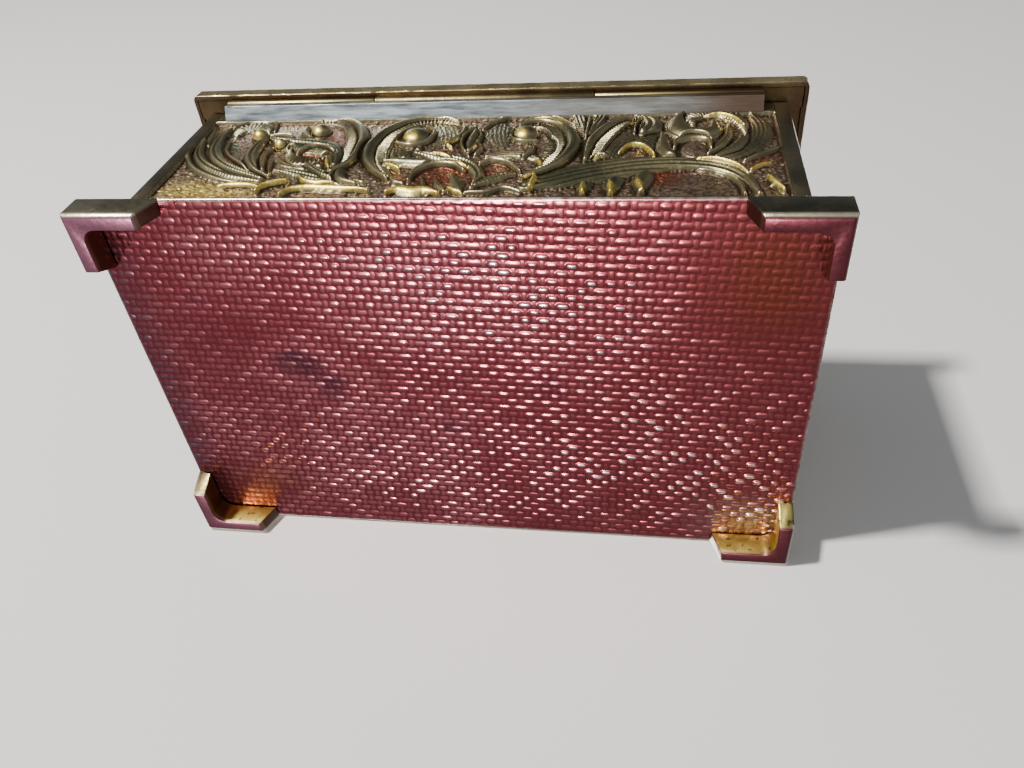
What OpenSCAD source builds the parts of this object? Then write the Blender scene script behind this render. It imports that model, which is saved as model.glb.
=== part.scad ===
// Hinged metal trinket box: four cast relief walls between an overhanging base on
// bracket feet and an overhanging lid, with a three-knuckle strip hinge at the back.
// Millimetres. +Z is up, the front is -Y, and the origin is on the ground under the
// middle of the box.

/* [Base and feet] */
// Length of the base plate, along X
base_l = 102; // [90:1:130]
// Width of the base plate, along Y
base_w = 64.6; // [56:0.2:80]
// Thickness of the base plate
base_t = 0.6; // [0.4:0.1:1.5]
// Height of the feet under the base plate
foot_h = 4.2; // [3:0.1:7]
// Wall thickness of a bracket foot
foot_t = 2.3; // [1.6:0.1:3]
// Length of a foot's leg along X, at the ground
foot_leg_x = 10.6; // [7:0.1:16]
// Length of a foot's leg along Y, at the ground
foot_leg_y = 9; // [7:0.1:14]
// How much longer each leg is at the plate than at the ground
foot_slope = 1.7; // [0.5:0.1:3]
// Radius of the fillet inside a foot's corner
foot_fillet = 2.2; // [1:0.1:3]

/* [Walls] */
// Length over the side walls' outer faces, along X
body_l = 94.8; // [84:0.2:120]
// Width over the front and back walls' outer faces, along Y
body_w = 58; // [50:0.2:72]
// Height of the walls above the base plate
wall_h = 35.8; // [26:0.1:50]
// Thickness of a wall
wall_t = 2.2; // [1.8:0.1:3]
// Depth of the relief field below a wall's plain rails
field_d = 0.6; // [0.3:0.1:1]
// Height of the plain rail along the top of each wall
top_rail = 3.5; // [3.5:0.1:5]

/* [Lid] */
// Length of the lid, along X
lid_l = 100.8; // [90:0.2:128]
// Width of the lid, along Y
lid_w = 63.8; // [56:0.2:79]
// Thickness of the lid at its edge
lid_t = 2.6; // [1.6:0.1:3.5]
// Gap between the walls and the closed lid
lid_gap = 0.45; // [0.3:0.05:0.8]
// Depth of the recess in the lid's underside
lid_recess = 0.3; // [0.2:0.05:0.5]
// Height of the raised panel on the lid's top
lid_panel_h = 0.4; // [0.3:0.1:1]
// Height of the strips that locate the lid inside the walls
rim_h = 2.3; // [1.5:0.1:3]

/* [Hinge] */
// Outer radius of the hinge knuckles
knuckle_r = 0.9; // [0.7:0.05:0.9]
// Radius of the hinge pin
pin_r = 0.45; // [0.3:0.05:0.5]
// Radial clearance between the pin and the middle knuckle
pin_gap = 0.05; // [0.03:0.01:0.1]
// How far the rail under the hinge stands off the back wall
rail_proud = 2.2; // [1.6:0.1:2.2]
// Thickness of that rail at its outer edge
rail_edge_t = 0.8; // [0.5:0.1:1]
// Thickness of the hinge leaf under the lid
leaf_t = 0.25; // [0.15:0.05:0.25]
// Length of the whole hinge
hinge_l = 87; // [60:1:88]
// Length of the middle knuckle, which moves with the lid
mid_knuckle_l = 35.6; // [20:0.2:50]

/* [Linings] */
// Thickness of the covered cards that line the walls
lining_t = 0.8; // [0.5:0.1:1.2]
// Thickness of the pad on the floor
floor_pad_t = 1.8; // [1:0.1:3]
// Thickness of the pad inside the lid
lid_pad_t = 1.6; // [1:0.1:2]

/* [Hidden] */
$fn = 64;

clear = 0.01;                                   // how far a cutting tool passes a face
foot_lip_t = 0.9;                              // the lip of a foot round the plate's edge
floor_z = foot_h + base_t;
wall_top = floor_z + wall_h;
lid_z = wall_top + lid_gap;                     // underside of the lid
lid_top = lid_z + lid_t;
inner_l = body_l - 2 * wall_t;
inner_w = body_w - 2 * wall_t;
bottom_rail = 2.5;
side_rail = 2.2;                                // plain stile at each end of a side wall
ornament_sink = 0.2;                            // how far a scroll is let into its ground
ornament_proud = field_d - 0.1;                 // how far a scroll stands off its ground
scroll_pitch = 22;                              // about the distance between two scrolls
scroll_share = 0.44;                            // a scroll's radius, as a share of its square
scroll_band = 0.25;                             // width of its band, as a share of its radius
knuckle_end_gap = 0.2;                          // between neighbouring knuckles
knuckle_lid_gap = 0.1;
knuckle_rail_gap = 0.2;
web_w = 0.6;                                    // half width of the web that carries a knuckle
leaf_reach = 1;                                 // how far the lid's leaf reaches in over the wall
rail_y = body_w / 2 + rail_proud;
rail_edge_behind = 0.65;                        // from the hinge axis out to the rail's edge
hinge_y = rail_y - rail_edge_behind;
hinge_z = lid_z - knuckle_lid_gap - knuckle_r;
rail_top = hinge_z - knuckle_r - knuckle_rail_gap;
rail_bottom = wall_top - top_rail;
lid_lip = 0.9;                                  // the border of the lid's underside recess
lid_back_bar = 4;                               // width of the flat bar left under the back edge
lid_border = 3;                                 // plain border round the lid's raised panel
lid_row_end = 2;                                // left plain at each end of the lid's scrolls
lid_row_side = 1;                               // left plain along each side of them
rim_t = 1;
rim_gap = 0.3;                                  // between the locating strips and the walls
rim_l = inner_l - 2 * rim_gap;
rim_w = inner_w - 2 * rim_gap;
rim_z = lid_z + lid_recess - rim_h;
lining_gap = 0.7;                               // between the linings and the closed lid's rim
lining_top = rim_z - lining_gap;

// ---- shapes that repeat ----

// The L-shaped outline of a foot's lip at the front left corner, t thick
module corner_outline(t) {
    translate([-base_l / 2, -base_w / 2]) {
        square([foot_leg_x + foot_slope, t]);
        square([t, foot_leg_y + foot_slope]);
    }
}

// One leg of a foot, seen from outside: wider at the plate than at the ground
module leg_outline(length) {
    polygon([[0, 0], [length, 0], [length + foot_slope, foot_h], [0, foot_h]]);
}

// The foot at the front left corner
module foot() {
    color("darkkhaki") union() {
        translate([-base_l / 2, -base_w / 2, 0]) {
            translate([0, foot_t, 0]) rotate([90, 0, 0])
                linear_extrude(foot_t) leg_outline(foot_leg_x);
            rotate([90, 0, 90])
                linear_extrude(foot_t) leg_outline(foot_leg_y);
            translate([foot_t, foot_t, 0]) difference() {
                cube([foot_fillet, foot_fillet, foot_h]);
                translate([foot_fillet, foot_fillet, -clear])
                    cylinder(r = foot_fillet, h = foot_h + 2 * clear);
            }
        }
        translate([0, 0, foot_h]) linear_extrude(base_t) corner_outline(foot_lip_t);
    }
}

// A child placed at the corner given by the signs sx and sy, from the front left corner
module at_corner(sx, sy) {
    mirror([sx > 0 ? 1 : 0, 0, 0]) mirror([0, sy > 0 ? 1 : 0, 0]) children();
}

// A C-scroll: a ring r in radius and w wide, open at its lower right, with a bead in its eye
module scroll(r, w) {
    difference() {
        circle(r);
        circle(r - w);
        polygon([[0, 0], [2 * r, -0.2 * r], [2 * r, -2 * r], [0.7 * r, -2 * r]]);
    }
    circle(0.9 * w);
}

// A row of scrolls along a field of length l and height h, turned alternately
module scroll_row(l, h) {
    count = 2 * round(l / scroll_pitch / 2);
    pitch = l / count;
    r = scroll_share * min(pitch, h);
    for (i = [0 : count - 1])
        translate([(i - (count - 1) / 2) * pitch, 0])
            mirror([i % 2, 0]) rotate(i < count / 2 ? 0 : 180) scroll(r, scroll_band * r);
}

// A wall panel, l long, standing on Z = 0 with its outer face at Y = 0 facing -Y.
// The field between its rails is sunk, and carries a row of scrolls.
module wall_panel(l, end_rail) {
    field_l = l - 2 * end_rail;
    field_h = wall_h - top_rail - bottom_rail;
    difference() {
        translate([-l / 2, 0, 0]) cube([l, wall_t, wall_h]);
        translate([-field_l / 2 - clear, -clear, bottom_rail])
            cube([field_l + 2 * clear, field_d + clear, field_h]);
    }
    translate([0, field_d + ornament_sink, bottom_rail + field_h / 2])
        rotate([90, 0, 0]) linear_extrude(ornament_sink + ornament_proud)
            scroll_row(field_l, field_h);
}

// A strip or card standing on the plane z = 0, l along X and t along Y, centred in X
module upright(l, t, h) {
    translate([-l / 2, 0, 0]) cube([l, t, h]);
}

// A cylinder along X from x0 to x1 on the hinge axis
module hinge_cylinder(r, x0, x1) {
    translate([x0, hinge_y, hinge_z]) rotate([0, 90, 0]) cylinder(r = r, h = x1 - x0);
}

// ---- base and feet ----

module base_plate() {
    color("silver") translate([0, 0, foot_h]) linear_extrude(base_t) difference() {
        square([base_l, base_w], center = true);
        for (sx = [-1, 1], sy = [-1, 1])
            mirror([sx > 0 ? 1 : 0, 0]) mirror([0, sy > 0 ? 1 : 0])
                corner_outline(foot_lip_t);
    }
}

module foot_front_left() { at_corner(-1, -1) foot(); }
module foot_front_right() { at_corner(1, -1) foot(); }
module foot_back_left() { at_corner(-1, 1) foot(); }
module foot_back_right() { at_corner(1, 1) foot(); }

// ---- walls ----

module long_wall() {
    color("darkgoldenrod")
        translate([0, -body_w / 2, floor_z]) wall_panel(inner_l, 0);
}

module short_wall() {
    color("goldenrod")
        translate([-body_l / 2, 0, floor_z]) rotate([0, 0, -90]) wall_panel(body_w, side_rail);
}

module front_wall() { long_wall(); }
module back_wall() { rotate([0, 0, 180]) long_wall(); }
module left_wall() { short_wall(); }
module right_wall() { rotate([0, 0, 180]) short_wall(); }

// ---- hinge ----

// The rail on the back wall: a bar with a sloping underside, as seen from its end
module rail_outline() {
    wall_y = body_w / 2;
    polygon([
        [wall_y, rail_bottom], [rail_y, rail_top - rail_edge_t],
        [rail_y, rail_top], [wall_y, rail_top]
    ]);
}

// A bar along X from x0 to x1, whose end has the outline given in Y and Z
module bar_along_x(x0, x1) {
    translate([x0, 0, 0]) rotate([90, 0, 90]) linear_extrude(x1 - x0) children();
}

// The rail on the back wall, with the two outer knuckles standing on it
module hinge_leaf_body() {
    outer_x = mid_knuckle_l / 2 + knuckle_end_gap;
    color("lightgray") difference() {
        union() {
            bar_along_x(-hinge_l / 2, hinge_l / 2) rail_outline();
            for (side = [0, 1]) mirror([side, 0, 0]) {
                translate([outer_x, body_w / 2, rail_top - clear])
                    cube([hinge_l / 2 - outer_x, hinge_y + web_w - body_w / 2, hinge_z - rail_top]);
                hinge_cylinder(knuckle_r, outer_x, hinge_l / 2);
            }
        }
        hinge_cylinder(pin_r, -hinge_l / 2 - clear, hinge_l / 2 + clear);
    }
}

module hinge_pin() {
    color("gray") hinge_cylinder(pin_r, -hinge_l / 2, hinge_l / 2);
}

// The leaf between the lid and the back wall, with the middle knuckle
module hinge_leaf_lid() {
    leaf_front = body_w / 2 - leaf_reach;
    color("peru") difference() {
        union() {
            translate([-mid_knuckle_l / 2, leaf_front, lid_z - leaf_t])
                cube([mid_knuckle_l, hinge_y - leaf_front, leaf_t]);
            translate([-mid_knuckle_l / 2, hinge_y - web_w, hinge_z])
                cube([mid_knuckle_l, 2 * web_w, lid_z - hinge_z]);
            hinge_cylinder(knuckle_r, -mid_knuckle_l / 2, mid_knuckle_l / 2);
        }
        hinge_cylinder(pin_r + pin_gap, -mid_knuckle_l / 2 - clear, mid_knuckle_l / 2 + clear);
    }
}

// ---- lid ----

module lid_plate() {
    panel_l = lid_l - 2 * lid_border;
    panel_w = lid_w - 2 * lid_border;
    recess_l = lid_l - 2 * lid_lip;
    recess_w = lid_w - lid_lip - lid_back_bar;
    color("darkgoldenrod") difference() {
        union() {
            translate([-lid_l / 2, -lid_w / 2, lid_z]) cube([lid_l, lid_w, lid_t]);
            translate([-panel_l / 2, -panel_w / 2, lid_top - clear])
                cube([panel_l, panel_w, lid_panel_h + clear]);
            for (side = [0, 1]) mirror([0, side, 0])
                translate([0, panel_w / 4, lid_top + lid_panel_h - ornament_sink])
                    linear_extrude(ornament_sink + ornament_proud)
                        scroll_row(panel_l - 2 * lid_row_end, panel_w / 2 - 2 * lid_row_side);
        }
        translate([-recess_l / 2, -lid_w / 2 + lid_lip, lid_z - clear])
            cube([recess_l, recess_w, lid_recess + clear]);
    }
}

module rim_long() {
    color("goldenrod") translate([0, -rim_w / 2, rim_z]) upright(rim_l, rim_t, rim_h);
}

module rim_short() {
    color("goldenrod") translate([-rim_l / 2, 0, rim_z]) rotate([0, 0, -90])
        upright(rim_w - 2 * rim_t, rim_t, rim_h);
}

module lid_rim_front() { rim_long(); }
module lid_rim_back() { rotate([0, 0, 180]) rim_long(); }
module lid_rim_left() { rim_short(); }
module lid_rim_right() { rotate([0, 0, 180]) rim_short(); }

module lid_lining() {
    color("firebrick") translate([0, 0, lid_z + lid_recess - lid_pad_t / 2])
        cube([rim_l - 2 * rim_t, rim_w - 2 * rim_t, lid_pad_t], center = true);
}

// ---- linings of the body ----

module floor_lining() {
    color("firebrick") translate([0, 0, floor_z + floor_pad_t / 2])
        cube([inner_l - 2 * lining_t, inner_w - 2 * lining_t, floor_pad_t], center = true);
}

module lining_long() {
    color("brown") translate([0, -inner_w / 2, floor_z])
        upright(inner_l - 2 * lining_t, lining_t, lining_top - floor_z);
}

module lining_short() {
    color("brown") translate([-inner_l / 2, 0, floor_z]) rotate([0, 0, -90])
        upright(inner_w, lining_t, lining_top - floor_z);
}

module lining_front() { lining_long(); }
module lining_back() { rotate([0, 0, 180]) lining_long(); }
module lining_left() { lining_short(); }
module lining_right() { rotate([0, 0, 180]) lining_short(); }

base_plate();
foot_front_left();
foot_front_right();
foot_back_left();
foot_back_right();
front_wall();
back_wall();
left_wall();
right_wall();
hinge_leaf_body();
hinge_pin();
hinge_leaf_lid();
lid_plate();
lid_rim_front();
lid_rim_back();
lid_rim_left();
lid_rim_right();
lid_lining();
floor_lining();
lining_front();
lining_back();
lining_left();
lining_right();
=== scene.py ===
import math

import bmesh
import bpy
import numpy as np
from mathutils import Matrix, Vector


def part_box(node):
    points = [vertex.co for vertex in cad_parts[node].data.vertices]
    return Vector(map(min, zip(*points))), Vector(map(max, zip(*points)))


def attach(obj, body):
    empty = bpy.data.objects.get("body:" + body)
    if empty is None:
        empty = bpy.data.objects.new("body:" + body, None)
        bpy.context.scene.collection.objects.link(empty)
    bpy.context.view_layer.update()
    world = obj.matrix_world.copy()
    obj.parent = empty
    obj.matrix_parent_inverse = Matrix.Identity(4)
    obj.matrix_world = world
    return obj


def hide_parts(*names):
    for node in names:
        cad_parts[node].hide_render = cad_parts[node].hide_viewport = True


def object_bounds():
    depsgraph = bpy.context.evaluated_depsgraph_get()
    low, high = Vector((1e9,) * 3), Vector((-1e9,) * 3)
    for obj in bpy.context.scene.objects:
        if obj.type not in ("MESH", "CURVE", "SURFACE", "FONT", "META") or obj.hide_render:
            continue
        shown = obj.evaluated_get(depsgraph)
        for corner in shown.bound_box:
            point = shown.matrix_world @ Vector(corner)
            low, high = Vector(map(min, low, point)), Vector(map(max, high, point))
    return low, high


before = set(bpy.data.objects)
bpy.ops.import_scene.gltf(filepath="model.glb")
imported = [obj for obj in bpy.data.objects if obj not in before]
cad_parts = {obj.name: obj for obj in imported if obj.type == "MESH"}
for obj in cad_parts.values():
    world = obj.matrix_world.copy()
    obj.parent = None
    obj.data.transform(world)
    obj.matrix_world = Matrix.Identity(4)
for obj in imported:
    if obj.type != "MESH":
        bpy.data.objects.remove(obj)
cad_low, cad_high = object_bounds()

MM = 0.001


# ---- places, in millimetres, from the frame ----

def box_mm(node):
    """The lowest and highest corner of a CAD node, in millimetres."""
    low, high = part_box(node)
    return np.array(low) / MM, np.array(high) / MM


BASE_LOW, BASE_HIGH = box_mm("base_plate")
FOOT_HIGH = box_mm("foot_front_left")[1]
BACK_LOW, BACK_HIGH = box_mm("back_wall")
SIDE_LOW, SIDE_HIGH = box_mm("left_wall")
LID_LOW, LID_HIGH = box_mm("lid_plate")

WALL_T = SIDE_HIGH[0] - SIDE_LOW[0]
WALL_H = BACK_HIGH[2] - BACK_LOW[2]
WALL_FACE_Y = BACK_HIGH[1]
WALL_FACE_X = -SIDE_LOW[0]
FLOOR_Z = BASE_HIGH[2]
LID_RECESS_Z = box_mm("lid_rim_front")[1][2]  # ceiling of the recess under the lid
LID_T = 2.6  # thickness of the lid's edge
LID_TOP = LID_LOW[2] + LID_T
LID_BORDER = 3.0  # plain border round the lid's relief
LID_LIP = 0.9  # lip that hangs down round the recess
LID_BAR = 4.0  # solid strip along the hinge
FOOT_LIP = 0.9  # how far a foot laps round the plate's edge
FOOT_SLOPE = 1.7  # how far a leg's end leans from its top to the ground
TOP_RAIL = 3.5  # plain border above a wall's relief
BOTTOM_RAIL = 2.5  # and below it


# ---- meshes ----

def add_object(name, data):
    """A new object in the scene."""
    made = bpy.data.objects.new(name, data)
    bpy.context.scene.collection.objects.link(made)
    return made


def mesh_piece(name, vertices, face_sets, smooth_sets):
    """A mesh object from vertices in mm and arrays of faces, each with one number of sides."""
    mesh = bpy.data.meshes.new(name)
    mesh.vertices.add(len(vertices))
    mesh.vertices.foreach_set("co", (np.asarray(vertices) * MM).astype(np.float32).ravel())
    corners = np.concatenate([np.asarray(f).ravel() for f in face_sets]).astype(np.int32)
    sides = np.concatenate([np.full(len(f), np.shape(f)[1]) for f in face_sets])
    smooth = np.concatenate([np.full(len(f), s) for f, s in zip(face_sets, smooth_sets)])
    starts = np.concatenate([[0], np.cumsum(sides)[:-1]]).astype(np.int32)
    mesh.loops.add(len(corners))
    mesh.loops.foreach_set("vertex_index", corners)
    mesh.polygons.add(len(sides))
    mesh.polygons.foreach_set("loop_start", starts)
    mesh.polygons.foreach_set("use_smooth", smooth.astype(bool))
    mesh.update(calc_edges=True)
    mesh.validate()
    return add_object(name, mesh)


def point_values(piece, **values):
    """Stores a number for each vertex, for the materials to read."""
    for key, numbers in values.items():
        attribute = piece.data.attributes.new(key, "FLOAT", "POINT")
        attribute.data.foreach_set("value", np.asarray(numbers, np.float32).ravel())


def paint(piece, material):
    """Gives a piece that material only."""
    piece.data.materials.clear()
    piece.data.materials.append(material)


def finish_piece(piece, material, body, replaced):
    """Gives a piece its material, and tells the frame what it rides on and stands for."""
    paint(piece, material)
    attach(piece, body)
    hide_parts(replaced)


def grid_lines(low, high, step, extra=()):
    """Lines from low to high about a step apart, that also pass through the extra places."""
    lines = np.linspace(low, high, int(round((high - low) / step)) + 1)
    for value in extra:
        lines[np.argmin(abs(lines - value))] = value
    return lines


BACK_VALUE = 0.3  # what the materials read on the flat back of a plate


def relief_slab(name, place, p, q, height, back, values, keep=None):
    """A closed plate with the relief on its front and a flat back.

    p and q are the grid's lines. place turns p, q and a height into a point in mm, and back is
    the flat back's height. values are numbers for the materials, one map each. keep marks the
    cells that the plate has, all of them if it isn't given.
    """
    rows, columns = len(q), len(p)
    grid_p, grid_q = np.meshgrid(p, q)
    number = np.arange(rows * columns).reshape(rows, columns)
    cells = np.stack([number[:-1, :-1], number[:-1, 1:], number[1:, 1:], number[1:, :-1]], -1)
    if keep is None:
        keep = np.ones((rows - 1, columns - 1), bool)
    cells = cells[keep]
    edges = np.concatenate([cells[:, [k, (k + 1) % 4]] for k in range(4)])
    forward = edges[:, 0] * (rows * columns) + edges[:, 1]
    backward = edges[:, 1] * (rows * columns) + edges[:, 0]
    rim = edges[~np.isin(forward, backward)]
    following = dict(rim.tolist())
    loop = [int(rim[0, 0])]
    while following[loop[-1]] != loop[0]:
        loop.append(following[loop[-1]])
    loop = np.array(loop)
    front = place(grid_p.ravel(), grid_q.ravel(), height.ravel())
    rear = place(grid_p.ravel()[loop], grid_q.ravel()[loop], np.full(len(loop), back))
    used = np.unique(cells)
    renumber = np.full(rows * columns, -1)
    renumber[used] = np.arange(len(used))
    cells, loop = renumber[cells], renumber[loop]
    rear_loop = len(used) + np.arange(len(loop))
    after = np.roll(np.arange(len(loop)), -1)
    sides = np.stack([loop[after], loop, rear_loop, rear_loop[after]], -1)
    piece = mesh_piece(
        name, np.concatenate([front[used], rear]),
        [cells, sides, rear_loop[::-1][None, :]], [True, False, False],
    )
    rear_fill = np.full(len(loop), BACK_VALUE)
    point_values(piece, **{
        key: np.concatenate([v.ravel()[used], rear_fill]) for key, v in values.items()
    })
    return piece


def unit(numbers):
    """The numbers, cut off at 0 and 1."""
    return np.clip(numbers, 0, 1)


def smoothed(field, radius):
    """The field blurred by about radius grid cells."""
    kernel = np.exp(-np.linspace(-2, 2, 4 * radius + 1) ** 2)
    kernel /= kernel.sum()
    pad = 2 * radius
    wide = np.pad(field, pad, mode="edge")
    wide = np.apply_along_axis(np.convolve, 0, wide, kernel, "valid")
    return np.apply_along_axis(np.convolve, 1, wide, kernel, "valid")


def noise_field(shape, radius, random):
    """Smooth random numbers from about -1 to 1, radius grid cells across."""
    field = smoothed(random.uniform(-1, 1, shape), radius)
    return field / (abs(field).max() + 1e-9)


def soft_spot(p, q, centre, size):
    """A soft patch: 1 at its centre, and about 0 at its size."""
    return np.exp(-(((p - centre[0]) / size[0]) ** 2 + ((q - centre[1]) / size[1]) ** 2) * 1.5)


# ---- the cast relief ----

def smooth_path(points, steps=10):
    """A smooth curve through the points, with steps parts between two of them."""
    c = np.asarray(points, float)
    c = np.vstack([2 * c[0] - c[1], c, 2 * c[-1] - c[-2]])
    t = np.linspace(0, 1, steps, endpoint=False)[:, None]
    parts = [
        0.5 * (2 * b + (d - a) * t + (2 * a - 5 * b + 4 * d - e) * t**2
               + (3 * b - a - 3 * d + e) * t**3)
        for a, b, d, e in zip(c[:-3], c[1:-2], c[2:-1], c[3:])
    ]
    return np.vstack(parts + [c[-2:-1]])


def near_path(p, q, path):
    """For each point: its distance from the path, and where along the path it lies.

    That is the share of the path passed, the length passed, and the side it lies on.
    """
    distance = np.full(p.shape, 1e9)
    reached = np.zeros(p.shape)
    side = np.ones(p.shape)
    steps = np.diff(path, axis=0)
    lengths = np.hypot(steps[:, 0], steps[:, 1])
    passed = np.concatenate([[0], np.cumsum(lengths)])
    for start, step, length, before in zip(path[:-1], steps, lengths, passed):
        u = unit(((p - start[0]) * step[0] + (q - start[1]) * step[1]) / length**2)
        dp, dq = p - start[0] - u * step[0], q - start[1] - u * step[1]
        d = np.hypot(dp, dq)
        closer = d < distance
        distance[closer] = d[closer]
        reached[closer] = (before + u * length)[closer]
        side[closer] = np.sign(step[0] * dq - step[1] * dp)[closer]
    return distance, reached / passed[-1], reached, side


def form_height(form, width, t, side, length):
    """The height of a form, from 0 to 1, where t goes from its middle line (0) to its edge."""
    across = side * t
    ribs = 0.5 + 0.5 * np.cos(2 * math.pi * length / HATCH)
    lines = 0.5 + 0.5 * np.cos(2 * math.pi * across * width / HATCH)
    rim = 0.5 * np.exp(-(((t - 0.9) / 0.08) ** 2)) * (width > 0.75)
    if form == "flat":
        return np.maximum((1 - t**4) ** 0.6 * (0.8 + 0.14 * np.cos(6 * across * width)), rim)
    if form in ("round", "gilt_and_glint"):
        return np.maximum(unit(1 - (t / 0.88) ** 2) ** 0.6, rim)
    if form == "leaf":
        vein = 0.4 * np.exp(-((t / 0.17) ** 2))
        return np.maximum((1 - t**2) ** 0.6 * (1 - vein) * (1 - 0.1 * ribs), rim)
    if form == "ribbed":
        return np.maximum((0.8 - 0.45 * ribs) * (t < 0.8) * (1 - 0.2 * t), 1.4 * rim)
    if form == "combed":
        return (0.45 + 0.4 * lines) * (1 - t**4)
    # a scroll: a smooth rib on the outside of the curve, and a ribbed band inside it
    rib = unit(1 - ((across + 0.4) / 0.46) ** 2) ** 0.6
    band = (across > 0.1) * (across < 0.84) * (0.62 - 0.4 * ribs)
    return np.maximum.reduce([rib, band, 0.62 * np.exp(-(((across - 0.9) / 0.07) ** 2))])


class Relief:
    """Heights in mm over a grid, built up form by form above a ground at 0.

    polish is 1 on smooth forms, the gold map is 1 where they are rubbed down to bright metal and
    carry a painted gold highlight, and red is 1 where the ground is red-brown.
    """

    def __init__(self, p, q):
        self.p, self.q = np.meshgrid(p, q)
        self.height = np.zeros(self.p.shape)
        self.polish = np.zeros(self.p.shape)
        self.gilt_and_glint = np.zeros(self.p.shape)
        self.red = np.zeros(self.p.shape)

    def _window(self, path, margin):
        """Marks the grid's points that lie within margin of the path's box."""
        low, high = np.min(path, 0) - margin, np.max(path, 0) + margin
        return (
            (self.p > low[0]) & (self.p < high[0]) & (self.q > low[1]) & (self.q < high[1])
        )

    def _lay(self, inside, distance, width, new, polish, gilt_and_glint):
        """Lays a new form over what is there, with a groove round it."""
        old = self.height[inside]
        clear = unit((distance - width) / GROOVE)
        covered = distance < width
        self.height[inside] = np.where(covered, np.maximum(new, 0.2 * old), old * clear)
        self.polish[inside] = np.where(covered, polish, self.polish[inside])
        self.gilt_and_glint[inside] = np.where(covered, gilt_and_glint, self.gilt_and_glint[inside])

    def stroke(self, form, widths, rise, points):
        """A raised band along the points. widths are its half widths from start to end.

        The gold one is a rubbed streak with a painted highlight, laid on what is there without a
        groove.
        """
        path = smooth_path(points)
        inside = self._window(path, max(widths) + GROOVE)
        if not inside.any():
            return
        distance, share, length, side = near_path(self.p[inside], self.q[inside], path)
        width = np.interp(share, np.linspace(0, 1, len(widths)), widths)
        t = unit(distance / np.maximum(width, 1e-6))
        new = rise * form_height(form, width, t, side, length)
        if form == "gilt_and_glint":
            self.height[inside] = np.maximum(self.height[inside], new)
            self.polish[inside] = np.maximum(self.polish[inside], t < 1)
            self.gilt_and_glint[inside] = np.maximum(self.gilt_and_glint[inside], unit(1.8 - 1.8 * t))
            return
        polish = 1.0
        if form == "scroll":
            polish = np.where(side * t < 0, 1.0, 0.9)
        elif form in ("ribbed", "combed"):
            polish = 0.8
        self._lay(inside, distance, width, new, polish, 0)

    def bead(self, centre, radius, rise, worn_and_highlit_share):
        """A round boss, bright on its lower left over that share of its width: worn metal and a
        painted highlight.
        """
        inside = self._window([centre], radius + GROOVE)
        dp, dq = self.p[inside] - centre[0], self.q[inside] - centre[1]
        distance = np.hypot(dp, dq)
        dome = np.sqrt(unit(1 - (distance / radius) ** 2))
        # the lower left of the bead is bright: worn metal with a painted highlight
        from_worn_and_highlit = np.hypot(dp + 0.4 * radius, dq + 0.5 * radius) / (worn_and_highlit_share * radius)
        worn_and_highlit = unit(1.6 - 1.6 * from_worn_and_highlit)
        self._lay(inside, distance, np.full(dome.shape, radius), rise * dome, 1, worn_and_highlit)

    def patch(self, kind, centre, radii, amount):
        """Rubs the forms about centre to gold with a painted highlight, or reddens the ground
        there.
        """
        spot = amount * soft_spot(self.p, self.q, centre, radii)
        if kind == "gold":
            self.gilt_and_glint = np.maximum(self.gilt_and_glint, spot)
        else:
            self.red = np.maximum(self.red, spot)

    def shell(self, centre, radii, rise, ribs):
        """A low oval dome with ribs that spread from its centre."""
        inside = self._window([centre], max(radii) + GROOVE)
        dp, dq = self.p[inside] - centre[0], self.q[inside] - centre[1]
        t = np.hypot(dp / radii[0], dq / radii[1])
        lines = 0.5 + 0.5 * np.cos(ribs * np.arctan2(dq, dp))
        dome = np.sqrt(unit(1 - t**2)) * (1 - 0.2 * lines * t)
        rim = 0.9 * np.exp(-(((t - 0.94) / 0.05) ** 2))
        width = np.full(t.shape, min(radii))
        self._lay(inside, t * width, width, rise * np.maximum(dome, rim), 0, 0)


GROOVE = 0.3  # width of the groove round a form
HATCH = 0.62  # between two ribs of a hatched band
SHELL_RIBS = 26
# the share of a bead's width that is worn bright and painted as a highlight
WORN_AND_HIGHLIT_SHARE = {"bead": 1.3, "boss": 0.8}  # how much of its width is rubbed bright

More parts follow.
